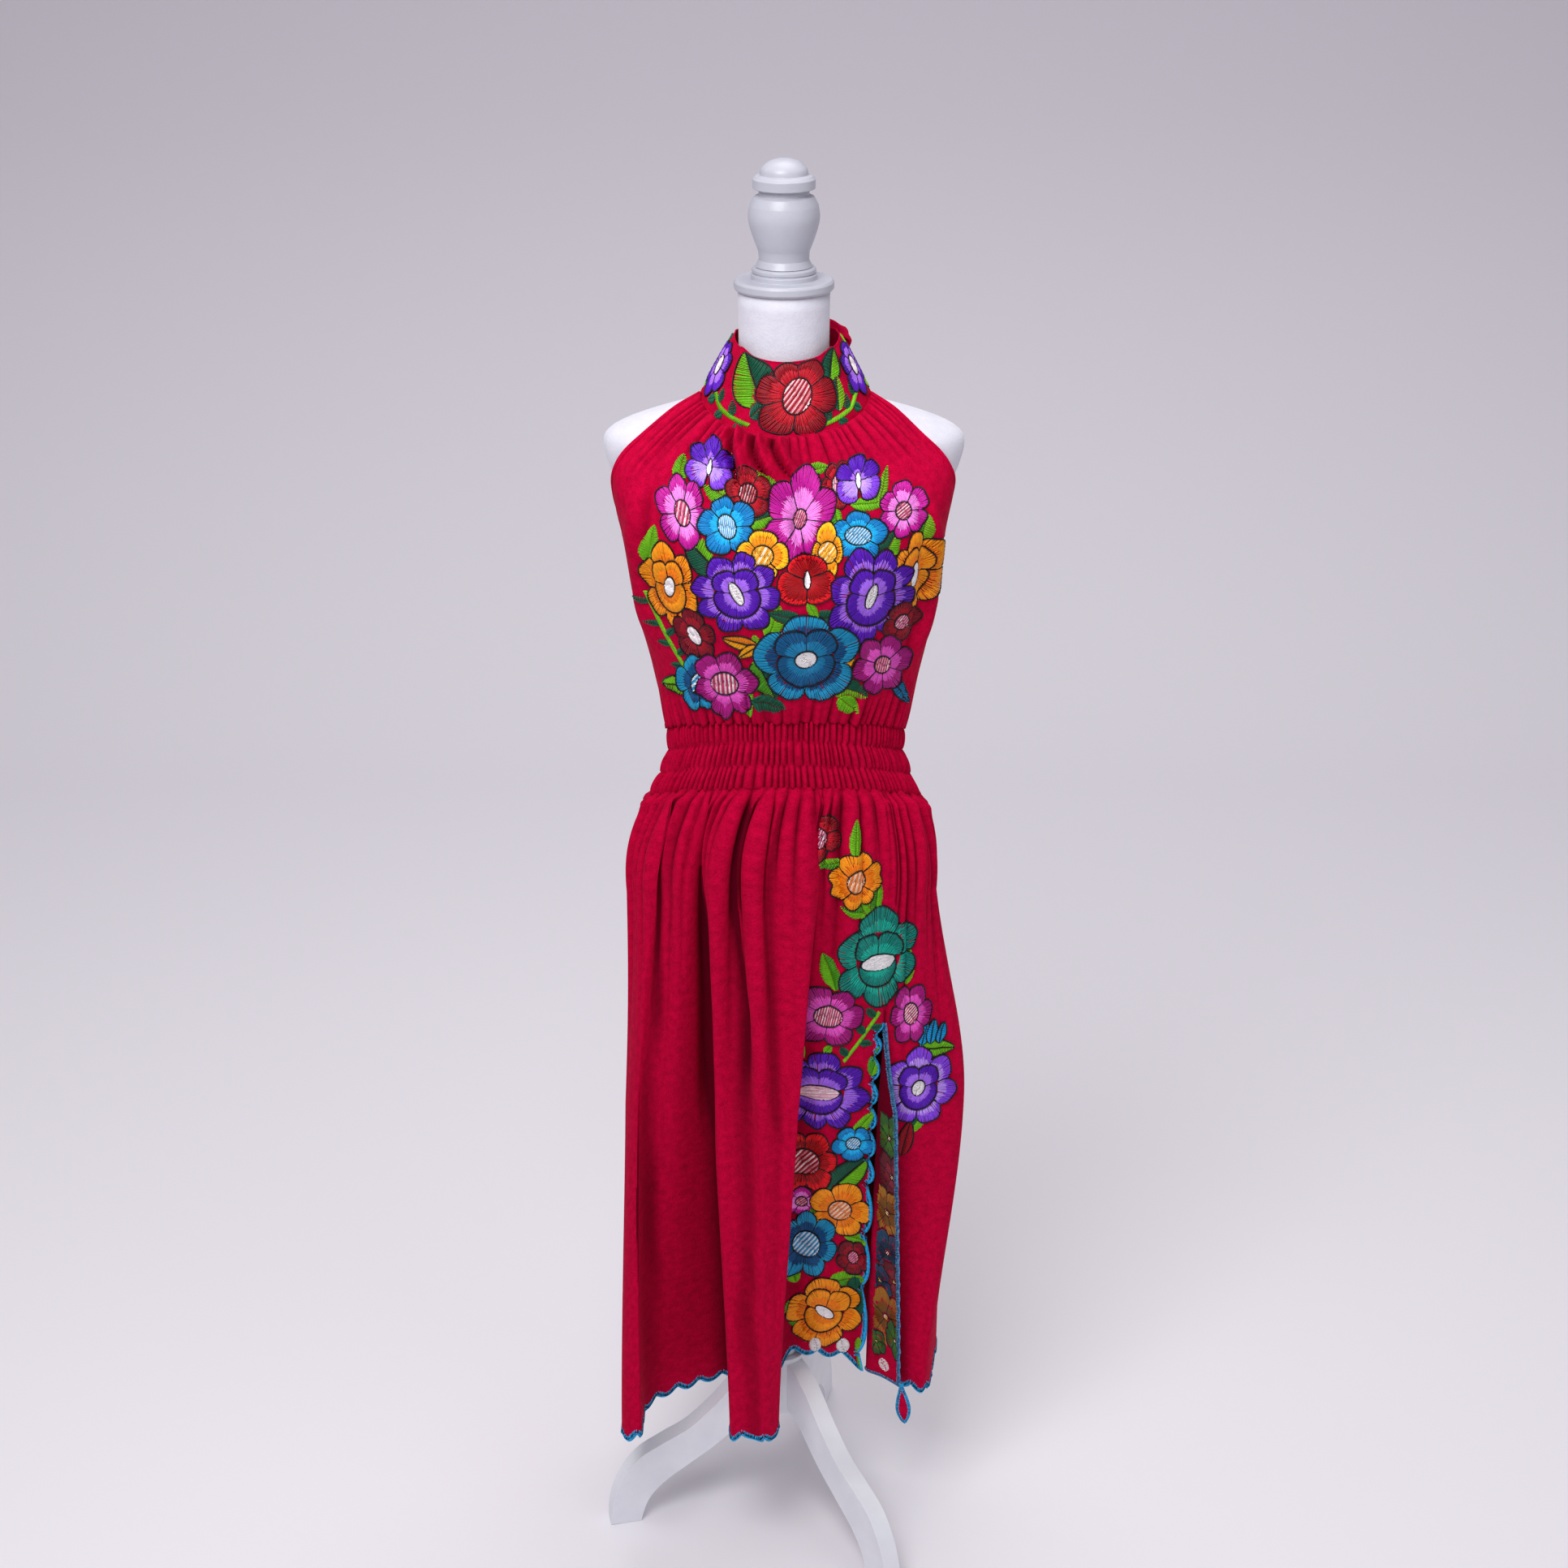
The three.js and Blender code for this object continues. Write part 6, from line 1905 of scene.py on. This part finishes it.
# %% Blanket-stitched edging
EDGE_PITCH, EDGE_REACH, STRIP_REACH, CORNER_REACH = 0.0014, 0.0062, 0.0046, 0.0034
EDGE_STRAND = 0.00092  # half the width of an edging strand


def edge_stitches(strands, edge, inside, outward, colour, reach=EDGE_REACH):
    """Lay stitches over an edge. inside is a line of points on the cloth beside the edge."""
    reached = reach_along(edge)
    at = np.arange(EDGE_PITCH / 2, reached[-1], EDGE_PITCH)
    line, beside, up = (at_reach(values, reached, at) for values in (edge, inside, outward))
    up = unit(up)
    inward = beside - line
    inward = unit(inward - up * (inward * up).sum(-1, keepdims=True))
    along = unit(np.gradient(line, axis=0))
    square = np.cross(up, along)
    square *= np.sign((square * inward).sum(-1, keepdims=True))
    inward = unit(inward + 0.6 * square)
    for place, way, out, on in zip(line, inward, up, along):
        deep = reach * rng.uniform(0.88, 1.1)
        slant = on * rng.uniform(-0.0005, 0.0005)
        under = -out * (CLOTH + 0.0006)
        path = [
            place + way * deep + out * 0.0002 + slant,
            place + way * 0.0016 + out * 0.0012,
            place - way * 0.0010 + under / 2,
            place + way * 0.0016 + under - out * 0.0004,
            place + way * deep * 0.8 + under * 0.8 - slant,
        ]
        shade = linear(colour) * rng.uniform(0.82, 1.15)
        radius = EDGE_STRAND * np.array([0.7, 1, 1, 1, 0.7])
        add_strand(strands, np.array(path), np.tile(way, (5, 1)), radius, shade)


edging_front, edging_back = new_strands(), new_strands()
slit_rows = slice(shut_rows + 1, None)


def hem_stitches(strands, grid, colour, reach=EDGE_REACH, inside=-4):
    edge_stitches(strands, grid[-1], grid[inside], grid_normals(grid)[-2], colour, reach)


def slit_stitches(grid, edge, inside, beside, colour, reach=EDGE_REACH):
    """Along a slit edge, by the numbers of its column, of one inside and of the one whose
    outward direction the stitches take."""
    side, up = grid[slit_rows], grid_normals(grid)[slit_rows]
    edge_stitches(edging_front, side[:, edge], side[:, inside], up[:, beside], colour, reach)


hem_stitches(edging_front, left_grid, EDGING_BLUE)
slit_stitches(left_grid, -1, -5, -3, EDGING_BLUE)
slit_stitches(strip_grid, 0, 3, 2, SLIT_BLUE, STRIP_REACH)
hem_stitches(edging_front, strip_grid, SLIT_BLUE, STRIP_REACH)
hem_stitches(edging_front, right_grid, EDGING_BLUE)
hem_stitches(edging_back, back_skirt_grid, EDGING_BLUE, inside=-3)

# %% [markdown]
# The lapel's lowest corner hangs free below the hem as a narrow drop: a scrap of the turned-back
# cloth with its edging folded together round it.

# %% Hanging corner of the lapel
CORNER_TOP, CORNER_LENGTH, CORNER_WIDTH = np.array([0.1385, -0.0570, 0.2080]), 0.056, 0.0165


def corner_grid(rows=18, columns=10):
    share, across = steps(1, rows), np.linspace(-1, 1, columns + 1)
    round_end = 0.90 * np.sin(math.pi * np.clip(share, 0, 1) ** 1.5) ** 0.8 * (share < 0.999)
    x = CORNER_TOP[0] + 0.005 * share + CORNER_WIDTH / 2 * (0.10 + round_end) * across
    y = CORNER_TOP[1] - 0.004 * np.cos(across * 1.4) * np.sin(math.pi * share) - 0.002 * share
    return grid_of(x, y, CORNER_TOP[2] - CORNER_LENGTH * share)


def down_and_up(grid, down, up):
    """Points down one column of a grid and back up another."""
    return np.concatenate([grid[:, down], grid[::-1, up]])


corner = corner_grid()
corner_piece = panel("hanging_lapel_corner", corner, red_cotton)
corner_out = down_and_up(grid_normals(corner), 1, -2)
corner_rim, corner_inside = down_and_up(corner, 0, -1), down_and_up(corner, 5, 5)
edge_stitches(edging_front, corner_rim, corner_inside, corner_out, EDGING_BLUE, CORNER_REACH)
trim = [
    thread_piece("blanket_stitch_front", edging_front),
    thread_piece("blanket_stitch_back", edging_back),
]

# %% [markdown]
# The collar seam shows as a fine corded line, and the armholes and the top of the back are bound
# with a narrow bias strip that rolls over the edge. Each is a round tube of the same red cotton,
# swept along its edge, with its own map in metres.

# %% Corded seam and bindings
def binding(name, line, out, half_width, flat=0.7, sides=10, sink=0.3):
    """A tube of red cotton along an edge. out points off the cloth; sink lets it into the cloth."""
    along, out = unit(np.gradient(line, axis=0)), unit(out)
    out = unit(out - along * (out * along).sum(-1, keepdims=True))
    beside = np.cross(along, out)
    turn = even_turn(sides)
    middle = line + out * half_width * (flat - sink * 2)
    rise, spread = half_width * flat * np.cos(turn)[:, None], half_width * np.sin(turn)[:, None]
    grid = middle[:, None] + out[:, None] * rise + beside[:, None] * spread
    rows = len(line)
    faces = grid_faces(rows, sides, closed=True)[:, ::-1].tolist()
    faces += [list(range(sides)), list(range((rows - 1) * sides, rows * sides))[::-1]]
    flat_map = grid_of(reach_along(line)[:, None], turn * half_width, 0)[..., :2]
    made = mesh_object(name, placed(grid).reshape(-1, 3), faces, red_cotton, flat_map.reshape(-1, 2))
    cleaned(made, "outwards")
    return counted(made)


collar_up, bodice_up = grid_normals(collar_grid), grid_normals(bodice_grid)
armhole = slice(1, int(BODICE_ROWS * UNDERARM / BODICE_STEPS) + 1)
bindings = [
    binding("corded_collar_seam", collar_grid[-1] - [0, 0, 0.0006], collar_up[-1], 0.0013, 0.8),
    binding("collar_top_fold", collar_grid[0], collar_up[0], 0.0009, 0.8, sink=0.6),
    binding("armhole_binding_left", bodice_grid[armhole, 0], bodice_up[armhole, 1], 0.0026),
    binding("armhole_binding_right", bodice_grid[armhole, -1], bodice_up[armhole, -2], 0.0026),
    binding("back_binding", back_grid[0], grid_normals(back_grid)[1], 0.0026),
]

# %% [markdown]
# The collar closes behind the neck with two ties of the same red cotton, knotted in a bow. Each
# loop is a turned ribbon, drawn narrow where it enters the knot and crumpled where it turns. The
# tails fall down the bare back. The knot is the ribbon wrapped once round itself.

# %% Bow behind the neck
KNOT_PLACE, KNOT_SIZE = np.array([0, 0.0638, 1.4240]), np.array([0.0155, 0.0120, 0.0205])
TIE_WIDTH, TIE_FRONT = 0.0165, 0.0695
BOW_LOOPS = {
    # side, reach, lift, height and how crumpled
    "bow_loop_right": (1, 0.067, 0.005, 0.022, 0.0036),
    "bow_loop_left": (-1, 0.046, -0.008, 0.020, 0.0018),
}
LOOP_TILT = (0.45, 0.75, 0.70)  # how far a loop's face is turned to the side and up
BOW_TAILS = {"bow_tail_right": (1, 0.024, 0.172), "bow_tail_left": (-1, 0.032, 0.196)}
TAIL_WIDTH = 0.0135


def loop_grid(side, reach, lift, height, crumple, turns=56, across=12):
    start = KNOT_SIZE[0] / 2 - 0.001
    turn = np.linspace(0.06, FULL_TURN - 0.06, turns + 1)[:, None]
    share = np.linspace(-1, 1, across + 1)
    out = (reach + start) / 2 - (reach - start) / 2 * np.cos(turn)
    far = (out - start) / (reach - start)
    round_shape = 0.45 + 0.55 * np.sin(math.pi * np.clip(far, 0, 1)) ** 0.5 + 0.25 * far
    half = TIE_WIDTH / 2 * (0.45 + 0.55 * ease(far / 0.45)) * share
    crease = crumple * np.sin(5.5 * share + 2.2 * turn) * (1 - 0.55 * far)
    crease = crease + crumple * 0.8 * np.sin(3.1 * share + 5 * turn + 1) * far
    x = side * (out + 0.6 * crease * np.cos(turn) - LOOP_TILT[0] * half * far)
    y = TIE_FRONT + LOOP_TILT[2] * half + 0.0015 * np.sin(turn * 2 + share)
    tall = height / 2 * np.sin(turn) * round_shape + crease * np.sin(turn)
    grid = grid_of(x, y, KNOT_PLACE[2] + lift * far + tall + LOOP_TILT[1] * half)
    return grid if side > 0 else grid[::-1]


def tail_grid(side, spread, length, rows=44, across=8):
    top = KNOT_PLACE[2]
    points = [
        (side * 0.0050, 0.0655, top - 0.0080), (side * 0.0090, 0.0790, top - 0.0440),
        (side * spread * 0.7, 0.1080, top - 0.55 * length), (side * spread, 0.1130, top - length),
    ]
    at = steps(3, rows)
    x, y, z = np.moveaxis(smooth_line(points, at), -1, 0)
    share = np.linspace(-1, 1, across + 1)
    open_out = ease(at / 0.8)
    half = TAIL_WIDTH / 2 * (0.5 + 0.5 * open_out) * share
    twist = 0.35 * side * np.sin(at * 1.3)
    bend = 0.0016 * np.sin(2.4 * share + at * 1.7) * (1.2 - 0.5 * open_out)
    slanted_end = 0.004 * share * ease((at - 2.6) / 0.4)
    grid = grid_of(x + half * np.cos(twist), y + half * np.sin(twist) + bend, z + slanted_end)
    return grid[:, ::-1]


def knot_piece(rows=26, sides=36):
    down = np.linspace(0.08, math.pi - 0.08, rows + 1)[:, None]
    turn = even_turn(sides)
    creases = 1 + 0.07 * np.sin(3 * turn + 5 * down) * np.sin(down) + 0.05 * np.cos(7 * down + turn)
    out = KNOT_SIZE / 2 * (np.sin(down) ** 0.7 * creases)[..., None]
    x, y = out[..., 0] * np.sin(turn), -out[..., 1] * np.cos(turn)
    grid = KNOT_PLACE + grid_of(x, y, KNOT_SIZE[2] / 2 * np.cos(down))
    return counted(closed_loft("tied_bow_knot", grid, red_cotton))


bow_grids = {name: loop_grid(*sizes) for name, sizes in BOW_LOOPS.items()}
bow_grids |= {name: tail_grid(*sizes) for name, sizes in BOW_TAILS.items()}
bow = {name: panel("tied_" + name, grid, red_cotton) for name, grid in bow_grids.items()}
knot = knot_piece()



# %% [markdown]
# Each cloth piece's cut is measured from its grids: the rectangle it is cut from, all round where it
# is a tube, and its flat area. The gathers take up the difference between a piece's width at its
# widest row and the line that it is sewn to.

# %% Cut sizes
def cut_of(*grids):
    """Width and length of the rectangle that a panel is cut from, and its flat area."""
    widths, lengths, area = 0.0, 0.0, 0.0
    for grid in grids:
        right, down = np.diff(grid, axis=1), np.diff(grid, axis=0)
        widths += float(np.linalg.norm(right, axis=-1).sum(axis=1).max())
        lengths = max(lengths, float(np.linalg.norm(down, axis=-1).sum(axis=0).max()))
        area += float(np.linalg.norm(np.cross(right[:-1], down[:, :-1]), axis=-1).sum())
    width, length = round(widths + 0.0005, 3), round(lengths + 0.0005, 3)
    return (width, length), round(min(area, width * length), 4)


def stitched(name):
    return ["satin_stitch_" + name, "outline_stitch_" + name]


skirt_grids = (left_grid, right_grid, strip_grid[shut_rows:])
sheets = [
    # piece, the model's part, held, rests on, grids, pieces that lie on it
    (collar, "collar", "gathered", "jersey_form", (collar_grid,), stitched("collar")),
    (bodice_front, "bodice_front", "gathered", "jersey_form", (bodice_grid,), stitched("bodice")),
    (bodice_back, "bodice_back", "gathered", "jersey_form", (back_grid,), []),
    (waist_front, "waist_band_front", "gathered", "jersey_form", (waist_front_grid,), []),
    (waist_back, "waist_band_back", "gathered", "jersey_form", (waist_back_grid,), []),
    (skirt_front, "skirt_front", "gathered", "jersey_form", skirt_grids,
     stitched("skirt") + stitched("lapel")),
    (skirt_back, "skirt_back", "gathered", "jersey_form", (back_skirt_grid,), ["blanket_stitch_back"]),
    (corner_piece, None, "hung", "slit_skirt_front", (corner,), ["blanket_stitch_front"]),
]
for name, piece in bow.items():
    held = "folded" if "loop" in name else "hung"
    sheets.append((piece, name, held, "tied_bow_knot", (bow_grids[name],), []))
cuts = {piece.name: cut_of(*grids) for piece, _, _, _, grids, _ in sheets}
for name, (flat, area) in cuts.items():
    print(name, "is cut from", flat, "m, flat area", area, "square metres")


# %% [markdown]
# The dress stands on a plain pale floor that sweeps up behind it into a pale wall; the paint turns
# greyer up the wall, which is painted shade. A large soft lamp hangs above and in front of the
# dress, a weak one fills from the right, a third lights the wall and floor from above, and the
# surround is an even grey.

# %% Studio
def studio_paint(floor_colour, shaded_wall_colour, wall_height=2.6):
    material, tree, shader = new_material("studio paint shaded up the wall", Roughness=0.9, Specular_IOR_Level=0.1)
    height = add_node(tree, "ShaderNodeSeparateXYZ", {0: object_places(tree)}).outputs["Z"]
    limits = {"Value": height, "From Min": 0.0, "From Max": wall_height}
    rise = add_node(tree, "ShaderNodeMapRange", limits).outputs[0]
    # Painted shade: the colour runs from the floor's to a greyer one at the wall's top.
    mixed = {0: rise, 6: rgba(floor_colour), 7: rgba(shaded_wall_colour)}
    tone = add_node(tree, "ShaderNodeMix", mixed, data_type="RGBA")
    tree.links.new(tone.outputs[2], shader.inputs["Base Color"])
    return material


SWEEP_RADIUS, SWEEP_START, STUDIO_HALF, WALL_TOP, FLOOR_FRONT = 1.2, 2.2, 5.0, 4.5, -4.0
FLOOR_GAP = 0.0005  # the floor lies this far under the feet

turn = np.linspace(0, QUARTER, 25)[1:, None]
bend = np.array([SWEEP_START, 0]) + SWEEP_RADIUS * np.hstack([np.sin(turn), 1 - np.cos(turn)])
wall_top = (SWEEP_START + SWEEP_RADIUS, WALL_TOP)
sweep = np.array([(FLOOR_FRONT, 0), (SWEEP_START, 0), *bend, wall_top])
sides = np.array([-STUDIO_HALF, STUDIO_HALF])
floor_grid = grid_of(sides, sweep[:, :1], sweep[:, 1:] - FLOOR_GAP)
floor_faces = grid_faces(len(sweep), 2)[:, ::-1]
studio_floor = mesh_object(
    "studio_floor", floor_grid.reshape(-1, 3), floor_faces, studio_paint("#f2eff4", "#b4adba")
)


def soft_lamp(name, place, aim, size, watts):
    """A square lamp at a place, turned from its own -Z to its aim."""
    data = bpy.data.lights.new(name, "AREA")
    data.shape, data.size, data.energy = "SQUARE", size, watts
    lamp = linked(name, data)
    lamp.location = place
    lamp.rotation_euler = (Vector(aim) - Vector(place)).to_track_quat("-Z", "Y").to_euler()


soft_lamp("key lamp", (-0.5, -1.4, 2.8), (0, 0, 1.25), 1.2, 41)
soft_lamp("fill lamp", (2.4, -2.0, 2.2), (0, 0, 0.9), 2.0, 8)
soft_lamp("top lamp", (0.2, 0.8, 4.2), (0, 0.6, 1.0), 2.0, 42)
bpy.context.scene.view_settings.view_transform = "Standard"
world = bpy.data.worlds.new("even surround")
bpy.context.scene.world = world
world.use_nodes = True
surround = world.node_tree.nodes["Background"].inputs
surround["Color"].default_value, surround["Strength"].default_value = rgba("#e6e4ea"), 0.50
print("studio:", studio_floor.name, "and three soft lamps")

# %% [markdown]
# Last, every piece is tied to the body that it moves with, each model solid that a piece stands
# for is hidden, and the cloth pieces' cut sizes are looked up.

# %% Tie the pieces to the model
REPLACED = [
    (form_cover, "form_torso"), (neck_cap, "neck_disc"), (finial, "finial"), (pole, "pole"),
    (hub, "hub"), (knot, "bow_knot"), *[(piece, name) for name, piece in legs.items()],
    *[(piece, node) for piece, node, *_ in sheets if node],
]
for piece, node in REPLACED:
    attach(piece, "root")
    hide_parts(node)
for piece in [*embroidery, *trim, *bindings, corner_piece]:
    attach(piece, "root")
for piece, _, held, resting, _, lying in sheets:
    flat, area = cuts[piece.name]
